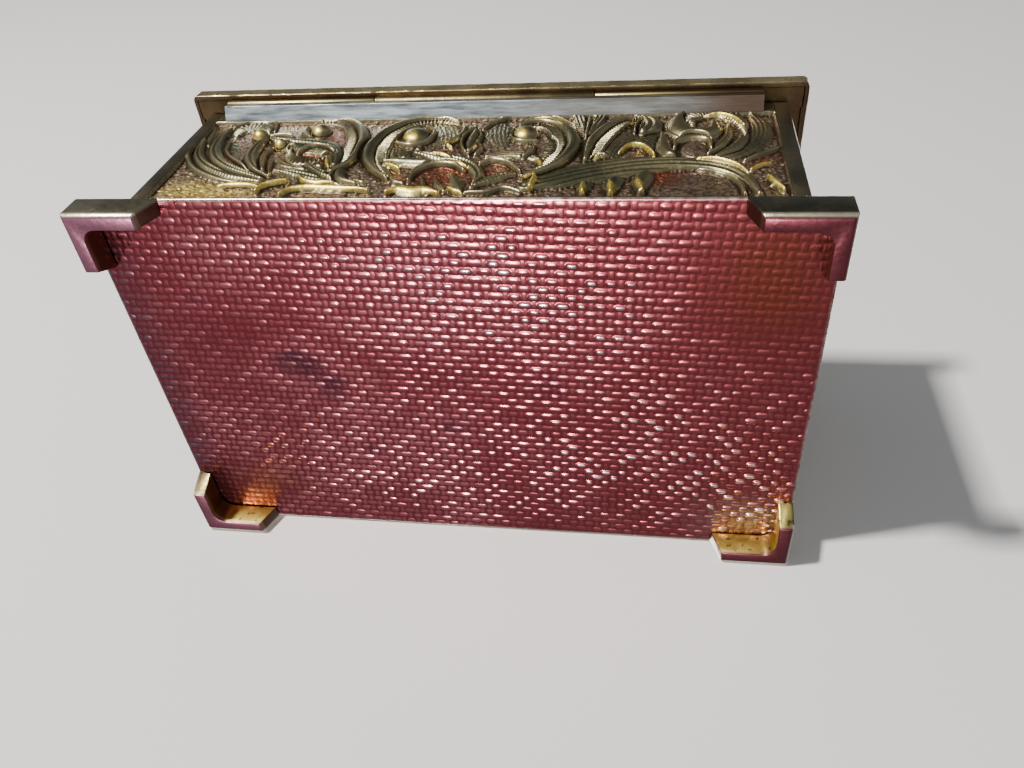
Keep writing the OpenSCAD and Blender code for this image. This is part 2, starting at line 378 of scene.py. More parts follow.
# Each row is a form, its size, its rise and its place, in mm from the middle of the wall and up
# from its bottom. For a stroke they are half widths, height and points; for a shell radii,
# height and centre; for a bead or boss radius, height and centre; for a gold or red patch radii,
# strength and centre. Later rows lie over earlier ones.
SPRAY = [
    ("gold", (9, 3.6), 0.75, (-38, 9.4)),
    ("red", (3.4, 2.2), 0.9, (-24, 19.6)),
    ("red", (2, 4), 0.7, (-22.4, 26)),
    ("red", (2, 5), 0.5, (-37.6, 20)),
    ("combed", (0.3, 0.9, 0.4), 0.4, [(-45, 31.5), (-44, 28), (-43.4, 24.5)]),
    ("combed", (0.3, 1.6, 1.4, 0.4), 0.3, [(-39.4, 25.6), (-38, 21), (-35.6, 17.6), (-33, 15.6)]),
    ("ribbed", (0.5, 1.5, 1.7, 1.1, 0.4), 0.7,
     [(-39.8, 27.4), (-39.6, 30), (-37.4, 31), (-35.4, 30.4), (-34.4, 28.6)]),
    ("round", (0.15, 0.3, 0.3, 0.15), 0.8,
     [(-41.2, 27), (-40.8, 31), (-37.4, 33), (-34.4, 31.8), (-33.6, 28.8)]),
    ("round", (0.3, 0.6, 0.8, 0.5), 0.7,
     [(-45.9, 25), (-44.6, 20), (-41.8, 16), (-36.4, 12.6), (-30, 10.9)]),
    ("leaf", (0.3, 0.9, 1.2, 1.3, 0.6), 0.95,
     [(-44.6, 26), (-43.4, 21), (-40.4, 17), (-35.6, 13.9), (-29.6, 11.4)]),
    ("leaf", (0.3, 0.9, 1.2, 1.0, 0.4), 1.05,
     [(-41.6, 30), (-41.8, 25.4), (-40.4, 20.6), (-36.6, 16.4), (-29.6, 12.2)]),
    ("round", (0.15, 0.4, 0.5, 0.2), 0.9, [(-39.9, 25.5), (-38.6, 21), (-35, 17.4), (-30, 13.6)]),
    ("leaf", (0.2, 0.9, 1.2, 0.9, 0.3), 1.05,
     [(-32.6, 26.8), (-34.2, 24), (-34, 19.6), (-31.8, 15.8), (-28.6, 12.8)]),
    ("round", (0.2, 0.6, 0.4), 0.85, [(-31.4, 22.6), (-32, 19.4), (-30.4, 15)]),
    ("round", (0.15, 0.4, 0.2), 0.75, [(-30.2, 18.6), (-29.8, 16.4), (-28.8, 13.6)]),
    ("combed", (0.3, 1.4, 1.3, 0.5), 0.45,
     [(-29.6, 19.4), (-27.4, 17.4), (-24.4, 16.6), (-22, 17)]),
    ("leaf", (0.3, 1.1, 1.2, 0.9, 0.3), 0.85,
     [(-28.6, 15), (-25, 14), (-21, 12.4), (-17.6, 11.2), (-14, 10.2)]),
    ("leaf", (0.2, 0.7, 0.9, 0.8, 0.3), 0.9,
     [(-25.4, 18.6), (-23.4, 16.4), (-20.4, 13.8), (-17, 12), (-13.6, 11)]),
    ("round", (0.3, 0.9, 0.9, 0.4), 0.9, [(-17, 17.4), (-18.2, 14.8), (-17.2, 12), (-14.6, 10.4)]),
    ("scroll", (0.5, 1.2, 1.9, 2.1, 2.0, 1.5, 0.6), 1.15,
     [(-19.4, 14), (-17.9, 17.4), (-17.9, 22), (-18.6, 26.4), (-20.6, 30.2), (-23.4, 31.8),
      (-26.2, 32)]),
    ("leaf", (0.6, 1.8, 2.7, 2.4, 1.4, 0.6), 1.0,
     [(-32.6, 25.6), (-30, 24.4), (-26.8, 23.6), (-23.4, 22.6), (-20.9, 20), (-19.6, 16.4)]),
    ("ribbed", (0.2, 0.9, 1.3, 1.0, 0.3), 0.75,
     [(-28.6, 22.6), (-27.6, 19.8), (-25.6, 18.4), (-23, 18.8), (-21.4, 20)]),
    ("round", (0.1, 0.35, 0.45, 0.15), 1.4,
     [(-26.8, 20.4), (-25, 22.2), (-22.8, 22), (-20.7, 20.4)]),
    ("round", (0.3, 0.8, 0.4), 0.85, [(-28.2, 30), (-28, 27.8), (-26.6, 26.2)]),
    ("round", (0.2, 0.5, 0.2), 1.0, [(-33.4, 26.4), (-31.8, 26.9), (-29.6, 26.8)]),
    ("bead", 1.35, 1.5, (-35.2, 26.9)),
    ("bead", 1.15, 1.4, (-30.5, 23.6)),
    ("boss", 1.7, 1.5, (-25.4, 28.4)),
    ("gilt_and_glint", (0.2, 0.5, 0.2), 1.0, [(-21.4, 18.6), (-21, 17.4), (-20.2, 15.6)]),
    ("gilt_and_glint", (0.2, 0.6, 0.7, 0.3), 1.0, [(-28.9, 8.2), (-28.4, 9.8), (-27, 10.8), (-25.2, 11.4)]),
    ("gilt_and_glint", (0.2, 0.6, 0.8, 0.2), 0.9, [(-24, 13), (-22.8, 11.6), (-21, 10.9), (-18, 10.7)]),
    ("gilt_and_glint", (0.2, 0.8, 1.0, 0.8, 0.2), 1.0,
     [(-25, 7.2), (-23.6, 8.7), (-21, 9.4), (-17.4, 9.1), (-12, 8.3)]),
    ("gilt_and_glint", (0.2, 0.7, 0.6, 0.2), 0.8, [(-35.4, 9.8), (-33, 10.5), (-30.6, 10.3), (-28.6, 9.4)]),
]

VOLUTE = [
    ("red", (2.4, 2.2), 0.6, (-4, 21)),
    ("red", (2.4, 2.4), 0.6, (-8.6, 12.6)),
    ("combed", (0.3, 2.2, 2.8, 2.2, 0.8), 0.22,
     [(-7, 31.6), (-5.6, 29.6), (-4.6, 27), (-4.2, 24.6), (-3.6, 22.6)]),
    ("ribbed", (0.3, 1.2, 1.2, 0.4), 0.5, [(-12, 22.6), (-12, 20), (-11.6, 17.4), (-10.4, 14.8)]),
    ("ribbed", (0.4, 1.3, 1.3, 0.4), 0.35, [(-10.8, 22), (-9.4, 20.6), (-8, 20.2), (-7, 19.6)]),
    ("scroll", (0.3, 0.9, 1.4, 2.0, 2.4, 2.2, 1.4, 0.5), 1.15,
     [(-3.4, 31), (-6.8, 31.9), (-10.6, 30.9), (-13.6, 27.6), (-14.6, 22.6), (-13.8, 17.8),
      (-11.4, 13.6), (-9, 11)]),
    ("round", (0.15, 0.4, 0.5, 0.4, 0.15), 0.8,
     [(-2.6, 30.6), (-1.9, 28.4), (-2.2, 26), (-3.4, 24), (-4, 22.4)]),
    ("round", (0.2, 0.45, 0.5, 0.45, 0.2), 0.85,
     [(-8.4, 29.8), (-6.6, 27.6), (-7, 24.4), (-9.4, 22.9), (-12, 24)]),
    ("boss", 2.2, 1.2, (-9.3, 26.7)),
    ("round", (0.3, 0.9, 0.4), 0.85, [(-7.6, 22.4), (-7.7, 20.4), (-7.2, 18.6)]),
    ("gilt_and_glint", (0.2, 0.6, 0.2), 0.6, [(-4.4, 24.8), (-3.7, 23.4), (-2.8, 22.2)]),
    ("gilt_and_glint", (0.1, 0.4, 0.1), 1.25, [(-9, 32), (-6.6, 32.4), (-4.2, 32)]),
]

BUD = [
    ("round", (0.2, 0.9, 1.0, 0.3), 0.7, [(0, 29), (-0.1, 26), (-0.1, 23), (0.1, 20.4)]),
    ("round", (0.1, 0.3, 0.35, 0.1), 1.0, [(-0.1, 29.4), (-1.5, 25.6), (-1.2, 22.2), (0.5, 18.8)]),
    ("round", (0.1, 0.3, 0.35, 0.1), 1.0, [(0.1, 29.4), (1.2, 25.6), (0.8, 22.6), (0.1, 20.2)]),
    ("round", (0.1, 0.4, 0.1), 0.9, [(1.2, 23), (1.9, 21.6), (1.2, 19.4)]),
]

CENTRE = [
    ("red", (5, 4), 1.0, (-2.6, 13)),
    ("red", (2.6, 3), 0.8, (5, 14)),
    ("round", (0.2, 0.6, 0.4), 0.6, [(-5.4, 12.8), (-4.8, 11), (-4.2, 9)]),
    ("round", (0.2, 0.7, 0.4), 0.6, [(-3.4, 12.6), (-2.6, 10.4), (-1.2, 8.4)]),
    ("round", (0.3, 1.1, 0.5), 0.55, [(-1.2, 13.4), (0, 11.4), (0.8, 9)]),
    ("round", (0.3, 1.0, 1.2, 0.8), 1.0, [(-12, 17), (-9.8, 17.3), (-7.4, 17.2), (-5, 16.6)]),
    ("leaf", (0.4, 1.1, 1.5, 1.4, 1.2, 0.9, 0.4), 1.1,
     [(-8, 20), (-6, 19.2), (-3, 18.2), (-0.2, 17), (2, 14.8), (3.1, 11.8), (2.6, 8.6)]),
    ("round", (0.2, 0.5, 0.6, 0.6, 0.3), 1.05,
     [(-7, 11.2), (-6.4, 14.4), (-4.2, 16.2), (-1.4, 16), (0.6, 14)]),
    ("gilt_and_glint", (0.2, 0.6, 0.2), 1.15, [(-11.6, 16), (-10.4, 15.4), (-9, 14.4)]),
    ("gilt_and_glint", (0.15, 0.4, 0.15), 1.3, [(-5, 19.2), (-3.6, 18.6), (-2, 17.8)]),
    ("gilt_and_glint", (0.2, 0.5, 0.2), 1.2, [(-1.4, 16.2), (-0.2, 15.7), (0.9, 14.7)]),
    ("round", (0.3, 0.9, 0.3), 0.9, [(-9.8, 12), (-8.8, 11), (-7.4, 10)]),
    ("gilt_and_glint", (0.3, 1.1, 1.3, 1.1, 0.3), 1.0,
     [(-9.4, 7.6), (-7.6, 8.6), (-5.6, 8.2), (-3.8, 8.4), (-1.8, 7.2)]),
    ("gilt_and_glint", (0.2, 0.7, 0.3), 0.9, [(-0.8, 9), (0.2, 8.3), (1.6, 7.4)]),
    ("combed", (0.3, 1.4, 1.2, 0.4), 0.6, [(3, 19), (5.8, 19.9), (8.8, 19.6), (11, 18)]),
    ("round", (0.2, 0.5, 0.6, 0.3), 1.0, [(2.5, 16.2), (4.4, 17.3), (6.8, 16.4), (8.8, 13.6)]),
    ("leaf", (0.2, 1.0, 1.1, 0.3), 0.85, [(2.8, 9.8), (4.4, 11.4), (6.2, 12.6), (8, 13.2)]),
    ("round", (0.2, 0.5, 0.5, 0.2), 0.75, [(1.8, 7.8), (4.6, 8), (7, 9.2), (9.6, 8)]),
    ("round", (0.2, 0.6, 0.3), 0.9, [(9.7, 22.4), (9.6, 20.4), (8.6, 18.6)]),
    ("gilt_and_glint", (0.15, 0.5, 0.15), 0.8, [(10.4, 17.6), (11.2, 16.8), (11.6, 15.4)]),
]

MIRROR_VOLUTE = [
    ("combed", (0.3, 1.8, 2.4, 2.0, 0.5), 0.22,
     [(3.6, 31.6), (3.6, 29.4), (3.8, 27), (4.4, 24.4), (5, 22.6)]),
    ("round", (0.1, 0.4, 0.5, 0.4, 0.2), 0.75,
     [(0.9, 28.4), (2.4, 31), (6, 32.9), (11.4, 32.6), (15.4, 29)]),
    ("scroll", (0.5, 1.3, 2.0, 2.5, 2.4, 1.8, 1.2, 0.4), 1.15,
     [(9.2, 12), (12.2, 14.8), (14, 18.6), (14.6, 23), (13.4, 27.2), (10.8, 29.6), (8, 29.4),
      (6.6, 27)]),
    ("ribbed", (0.2, 0.8, 0.9, 0.3), 0.45, [(11, 26), (12, 23.4), (12, 20.4), (11.2, 17.6)]),
    ("round", (0.15, 0.4, 0.4, 0.2), 0.85, [(5.9, 28.4), (5.9, 25.6), (7.4, 23.8), (10, 24)]),
    ("boss", 2.0, 1.5, (8.0, 26.3)),
    ("gilt_and_glint", (0.1, 0.4, 0.2), 1.3, [(8.6, 31.2), (11.4, 30.6), (13.4, 28.4)]),
]

FAN = [
    ("combed", (0.2, 0.6, 1.2, 1.1), 0.8, [(17, 26), (16.6, 28.4), (16, 30.8), (15.6, 32.6)]),
    ("combed", (0.2, 0.6, 1.2, 1.1), 0.8, [(17.4, 26), (18, 28.4), (18.7, 30.8), (19.2, 32.6)]),
    ("round", (0.15, 0.3, 0.4), 0.9, [(17.2, 25.4), (17.3, 28.6), (17.4, 31.6)]),
]

COMMA = [
    ("combed", (0.4, 2.0, 2.6, 2.2, 0.7), 0.3,
     [(21.4, 18.4), (22.4, 22), (24.4, 24.6), (26.8, 23.4), (28, 19.4)]),
    ("scroll", (0.6, 1.3, 1.8, 1.9, 1.6, 0.8), 1.1,
     [(25.6, 30.6), (23, 30.4), (20.6, 27.4), (19, 23.4), (18.4, 19.6), (18, 16.6)]),
    ("flat", (1.0, 2.3, 2.2, 0.7), 1.1, [(25.4, 31), (26.2, 29.6), (26.4, 28), (25.6, 26.2)]),
    ("round", (0.15, 0.4, 0.4, 0.15), 1.15,
     [(24.2, 31.6), (25, 30.2), (24.6, 28.4), (24.4, 26.4)]),
    ("gilt_and_glint", (0.1, 0.4, 0.45, 0.2), 1.1, [(22.4, 19.6), (24, 21.5), (26, 20.9), (27.8, 17.4)]),
    ("boss", 1.3, 1.3, (20, 17.6)),
    ("bead", 0.7, 1.4, (19.5, 17.2)),
]

WHIRL = [
    ("red", (2.5, 2.5), 0.7, (42.5, 17.6)),
    ("combed", (0.3, 1.4, 1.7, 1.5, 0.9, 0.3), 0.65,
     [(41.6, 32.6), (42.8, 28.6), (42.6, 24.4), (41, 21), (38.8, 18.8), (36.4, 17.6)]),
    ("leaf", (0.3, 0.8, 1.0, 0.3), 0.9, [(40, 28.6), (40.2, 24.6), (38.8, 21), (36, 18)]),
    ("leaf", (0.2, 0.7, 0.9, 0.3), 0.85, [(38, 28.6), (38, 25), (36.6, 21.6), (34.8, 19.2)]),
    ("round", (0.6, 1.7, 2.2, 2.1, 1.6, 0.8), 1.15,
     [(32, 32.8), (30.9, 30), (31.2, 27), (33.4, 25.2), (35.8, 26.2), (36, 28.6)]),
    ("ribbed", (0.5, 1.2, 1.5, 1.4, 0.9, 0.3), 1.05,
     [(33, 28.6), (32.8, 31), (34.8, 32.6), (37.8, 32), (40, 29), (40.4, 25)]),
    ("gilt_and_glint", (0.1, 0.35, 0.45, 0.2), 1.2, [(34.8, 31.2), (37, 31.4), (39, 30), (40.3, 27.4)]),
    ("round", (0.3, 1.0, 1.4, 1.0, 0.3), 1.0,
     [(28.4, 25.4), (28.7, 22.4), (29.1, 20), (29.9, 18), (31, 17)]),
    ("round", (0.2, 0.8, 1.0, 0.6, 0.2), 0.95,
     [(30.2, 20.6), (30.6, 22.8), (32.6, 24), (35, 23.2), (35.4, 20.4)]),
    ("shell", (1.8, 2.5), 0.8, (33, 20.1)),
    ("round", (0.2, 0.7, 0.4), 0.6, [(39.8, 17), (42, 18.8), (44.6, 20.6)]),
    ("gilt_and_glint", (0.2, 0.4, 0.2), 0.7, [(40.4, 14), (41.6, 15.2), (43.2, 16)]),
    ("gilt_and_glint", (0.2, 0.8, 0.3), 0.9, [(42.4, 12), (43.2, 10.4), (44.2, 8)]),
]

BRANCH = [
    ("red", (3, 3.4), 1.0, (28.6, 12.4)),
    ("shell", (5.4, 5.4), 0.4, (33.2, 8.2)),
    ("round", (0.3, 0.7, 0.7, 0.3), 0.85, [(33.6, 14), (36.6, 13.2), (38.6, 10.6), (39.2, 7)]),
    ("gilt_and_glint", (0.1, 0.35, 0.1), 1.0, [(35, 13.9), (37, 13), (38.4, 10.8)]),
    ("round", (0.6, 1.1, 1.0, 0.6), 1.0, [(18.8, 13), (18.4, 11), (18.1, 9), (18, 7.2)]),
    ("round", (0.6, 1.3, 1.2, 0.6), 1.05, [(22.6, 14), (22.2, 11.4), (21.8, 9), (21.7, 7)]),
    ("round", (0.8, 1.5, 1.2, 0.6), 1.05, [(26.6, 14.6), (26, 12), (25.7, 10), (25.7, 7.4)]),
    ("gilt_and_glint", (0.2, 0.6, 0.3), 1.35, [(18, 9.6), (18, 8.4), (18.1, 7)]),
    ("gilt_and_glint", (0.2, 0.7, 0.3), 1.35, [(21.5, 10), (21.8, 8.6), (21.8, 6.8)]),
    ("gilt_and_glint", (0.2, 0.7, 0.3), 1.35, [(25.2, 10.4), (25.6, 9), (26, 7.4)]),
    ("flat", (1.2, 2.3, 3.0, 3.0, 2.2, 1.5, 1.3, 1.0, 0.5), 0.95,
     [(10, 9.6), (13.4, 11.2), (17, 13), (21.4, 14.6), (26, 15.7), (31, 16), (36, 15), (39.4, 12),
      (41, 7)]),
    ("gilt_and_glint", (0.1, 0.4, 0.45, 0.1), 1.35, [(33.4, 16.7), (36, 16.1), (38.4, 14.4), (40, 12)]),
    ("gilt_and_glint", (0.3, 0.9, 0.5), 1.2, [(11, 12.4), (11.1, 10.6), (10.8, 8.8)]),
]


def draw(relief, rows, move=lambda p, q: (p, q)):
    """Draws rows of the tables above, with each point moved as move says."""
    for form, size, rise, where in rows:
        if form == "shell":
            relief.shell(move(*where), size, rise, SHELL_RIBS)
        elif form in ("bead", "boss"):
            relief.bead(move(*where), size, rise, WORN_AND_HIGHLIT_SHARE[form])
        elif form in ("gold", "red"):
            relief.patch(form, move(*where), size, rise)
        else:
            points = [move(*point) for point in where]
            if form == "scroll" and flips(move):
                points, size = points[::-1], size[::-1]
            relief.stroke(form, size, rise, points)


def flips(move):
    """True if move turns left-handed curves into right-handed ones."""
    a, b, c = (np.array(move(*point)) for point in ((0, 0), (1, 0), (0, 1)))
    return (b - a)[0] * (c - a)[1] - (b - a)[1] * (c - a)[0] < 0


LEAF_PITCH = 3.0
LEAF_LEVEL = BOTTOM_RAIL + 1.2


def leaf_row(relief):
    """A row of small leaves along the bottom of a field."""
    for start in np.arange(relief.p[0, 0], relief.p[0, -1], LEAF_PITCH):
        points = [(start, LEAF_LEVEL - 1), (start + 1.4, LEAF_LEVEL + 0.5),
                  (start + 3.2, LEAF_LEVEL + 0.3)]
        relief.stroke("leaf", (0.3, 0.75, 0.2), 0.55, points)


def stippled(relief, amount, random):
    """A punched ground, between the raised forms."""
    dots = noise_field(relief.height.shape, 1, random)
    low = unit(1 - relief.height / 0.35)
    relief.height += amount * dots * low


def tool_marks(relief, random):
    """Small unevenness of a casting that was polished by hand."""
    relief.height += 0.03 * noise_field(relief.height.shape, 6, random)
    relief.height += 0.012 * noise_field(relief.height.shape, 1, random)


def cast_relief(p, q, pattern, stipple, random):
    """A relief with that pattern, on a ground that is stippled by that many mm."""
    relief = Relief(p, q)
    pattern(relief)
    stippled(relief, stipple, random)
    tool_marks(relief, random)
    return relief


def value_maps(relief, height, plain, radius):
    """What the brass material reads at each point of a relief, where plain marks its borders."""
    return {
        "relief": unit((height - height.min()) / (height.max() - height.min())),
        "cavity": cavity_of(height, radius),
        "polish": smoothed(np.maximum(relief.polish * (1 - plain), plain), 1),
        "gilt_and_glint": smoothed(relief.gilt_and_glint * (1 - plain), 1),
        "red": relief.red * (1 - plain),
    }


def cavity_of(height, radius):
    """From 0 in a hollow to 1 on a crest, against what lies within radius grid cells."""
    return unit(0.5 + (height - smoothed(height, radius)) / 0.8)


# ---- the walls ----

GROUND = -0.62  # level of the relief's ground behind a wall's plain face
FINE_STEP = 0.12  # between two grid lines of the walls and the base plate
POST_ROUNDING = 0.22


def fade_to_edge(distance, width, depth):
    """How much a rounded border falls away within width of its edge."""
    t = unit(1 - distance / width)
    return -depth * (1 - np.sqrt(1 - t**2 * 0.999))


def wall_relief(length, seed, pattern, rail):
    """Grid lines, heights and values of a wall panel, with a rail of that width at each end."""
    random = np.random.default_rng(seed)
    p = grid_lines(-length / 2, length / 2, FINE_STEP)
    q = grid_lines(0, WALL_H, FINE_STEP)
    relief = cast_relief(p, q, pattern, 0.2, random)
    gap = np.minimum.reduce([
        length / 2 - rail - abs(relief.p), relief.q - BOTTOM_RAIL, WALL_H - TOP_RAIL - relief.q,
    ])
    in_field = unit(gap / 0.25)
    border = unit(1 - abs(gap + 0.2) / 0.3) * 0.08
    edge = np.minimum.reduce([relief.q, WALL_H - relief.q])
    plain = 0.006 * noise_field(relief.height.shape, 9, random)
    height = in_field * (GROUND + relief.height) + (1 - in_field) * (plain + border)
    height = smoothed(height, 1) + fade_to_edge(edge, 0.25, 0.2)
    return p, q, height, value_maps(relief, height, 1 - in_field, 5)


WALL_PATTERN = (SPRAY, VOLUTE, MIRROR_VOLUTE, BUD, CENTRE, FAN, COMMA, WHIRL, BRANCH)


def long_pattern(relief):
    """The pattern of the back wall."""
    leaf_row(relief)
    for rows in WALL_PATTERN:
        draw(relief, rows)


def long_pattern_mirrored(relief):
    """The same pattern the other way round, for the front."""
    leaf_row(relief)
    for rows in WALL_PATTERN:
        draw(relief, rows, lambda p, q: (-p, q))


def short_pattern(relief):
    """Two volutes about a bud, with a comma at each end."""
    leaf_row(relief)
    for side in (1, -1):
        draw(relief, COMMA, lambda p, q, side=side: (side * (p - 2.8), q))
        draw(relief, VOLUTE, lambda p, q, side=side: (side * p, q))
    draw(relief, BUD)
    draw(relief, CENTRE)


def wall_place(origin, along, outward):
    """A function that turns places on a wall's face into points in mm."""
    origin, along, outward = (np.array(v, float) for v in (origin, along, outward))
    up = np.array([0.0, 0.0, 1.0])

    def place(p, q, height):
        return origin + np.outer(p, along) + np.outer(q, up) + np.outer(height, outward)
    return place


def round_edges(bm, edges, radius, parts):
    """Rounds those edges of a bmesh, to a radius in mm."""
    bmesh.ops.bevel(
        bm, geom=edges, offset=radius * MM, segments=parts, profile=0.5, affect="EDGES",
        clamp_overlap=True,
    )


def rounded_bar(name, low, high, radius, parts=3):
    """A bar with rounded edges, between two corners in mm."""
    bm = bmesh.new()
    bmesh.ops.create_cube(bm, size=1)
    size, middle = (high - low) * MM, (high + low) / 2 * MM
    for v in bm.verts:
        v.co = [m + c * s for m, c, s in zip(middle, v.co, size)]
    round_edges(bm, bm.edges[:], radius, parts)
    mesh = bpy.data.meshes.new(name)
    bm.to_mesh(mesh)
    bm.free()
    return add_object(name, mesh)


def joined(pieces):
    """Several mesh objects as one, under the first one's name."""
    with bpy.context.temp_override(
        active_object=pieces[0], object=pieces[0],
        selected_objects=pieces, selected_editable_objects=pieces,
    ):
        bpy.ops.object.join()
    return pieces[0]


def make_long_wall(node, face_y, sign, pattern, seed, material):
    """The front or back wall. sign is the way that its outer face looks along Y."""
    length = BACK_HIGH[0] - BACK_LOW[0]
    p, q, height, values = wall_relief(length, seed, pattern, 0)
    place = wall_place((0, face_y, FLOOR_Z), (-sign, 0, 0), (0, sign, 0))
    piece = relief_slab(node + "_relief", place, p, q, height, -WALL_T, values)
    finish_piece(piece, material, "box", node)


def make_short_wall(node, sign, seed, material, plain_material):
    """The left or right wall, with its two plain corner posts."""
    length = 2 * (WALL_FACE_Y - WALL_T)
    p, q, height, values = wall_relief(length, seed, short_pattern, 0.4)
    place = wall_place((sign * WALL_FACE_X, 0, FLOOR_Z), (0, sign, 0), (sign, 0, 0))
    panel = relief_slab(node + "_relief", place, p, q, height, -WALL_T, values)
    finish_piece(panel, material, "box", node)
    posts = []
    for end in (-1, 1):
        xs = sorted((sign * (WALL_FACE_X - WALL_T), sign * WALL_FACE_X))
        ys = sorted((end * (WALL_FACE_Y - WALL_T), end * WALL_FACE_Y))
        low = np.array([xs[0], ys[0], FLOOR_Z])
        high = np.array([xs[1], ys[1], FLOOR_Z + WALL_H])
        posts.append(rounded_bar(node + "_posts", low, high, POST_ROUNDING))
    post_pair = joined(posts)
    smooth_by_angle(post_pair, 40)
    finish_piece(post_pair, plain_material, "box", node)


def smooth_by_angle(piece, degrees):
    """Smooth shading, broken at edges sharper than that angle."""
    mesh = piece.data
    mesh.polygons.foreach_set("use_smooth", np.ones(len(mesh.polygons), bool))
    mesh.set_sharp_from_angle(angle=math.radians(degrees))


# ---- the woven base plate ----

WARP_PITCH = 1.32  # between two threads that run along Y
WEFT_PITCH = 1.3  # between two threads that run along X
WEAVE_DEPTH = 0.25
WEAVE_TURN = math.radians(1.6)  # the threads don't lie quite square to the plate


def weave_relief(p, q, crispness, random):
    """Heights of an embossed plain weave, whose threads along X stand highest."""
    wander_p = 0.4 * noise_field(p.shape, 30, random) + 0.12 * noise_field(p.shape, 4, random)
    wander_q = 0.35 * noise_field(p.shape, 30, random) + 0.1 * noise_field(p.shape, 4, random)
    turned_p = p * math.cos(WEAVE_TURN) + q * math.sin(WEAVE_TURN) + wander_p
    turned_q = q * math.cos(WEAVE_TURN) - p * math.sin(WEAVE_TURN) + wander_q
    u, v = turned_p / WARP_PITCH, turned_q / WEFT_PITCH
    column, row = np.floor(u).astype(int), np.floor(v).astype(int)
    shape = (row.max() - row.min() + 3, column.max() - column.min() + 3)
    strength = random.uniform(0.35, 1.15, shape)
    reach = random.uniform(0.62, 1.0, shape)
    height = np.zeros(p.shape)
    for column_step in (-1, 0, 1):
        for row_step in (-1, 0, 1):
            i, j = column + column_step, row + row_step
            over = (i + j) % 2 == 0
            at = (j - row.min() + 1, i - column.min() + 1)
            long_u = np.where(over, 0.88 * reach[at], 0.34)
            long_v = np.where(over, 0.4, 0.62)
            t = abs((u - i - 0.5) / long_u) ** 3 + abs((v - j - 0.5) / long_v) ** 2
            top = np.where(over, strength[at] * crispness, 0.1 + 0.2 * crispness)
            height = np.maximum(height, top * unit(1 - t) ** 0.85)
    return np.clip(height, 0, 1.1)


# Tarnished patches on the underside: their centres and sizes in mm, and how dark they are
TARNISH = [
    ((26, 4.5), (6, 3.5), 0.9),
    ((21, -0.5), (4.5, 4), 0.8),
    ((17.5, -13.5), (3.5, 2.5), 0.5),
    ((2, -8), (4.5, 3), 0.6),
    ((39, 16), (3.5, 3), 0.4),
    ((20.5, 18), (4, 3), 0.35),
    ((-13, 1), (7, 5), 0.45),
    ((-24, -11), (6, 4), 0.4),
    ((-36, 4), (5, 9), 0.35),
    ((-20, 14), (4, 3), 0.3),
]


# Where the weave is less worn: centres and sizes in mm, and how much crisper it is there
CRISP = [
    ((-13, 16), (24, 14), 0.5),
    ((-30, -12), (24, 20), 0.4),
    ((5, -20), (40, 12), 0.3),
    ((10, 24), (30, 6), 0.25),
    ((-42, 20), (14, 14), -0.6),
    ((41, -24), (9, 7), -0.6),
    ((38, 10), (14, 14), -0.15),
    ((-45, -22), (10, 12), 0.3),
]


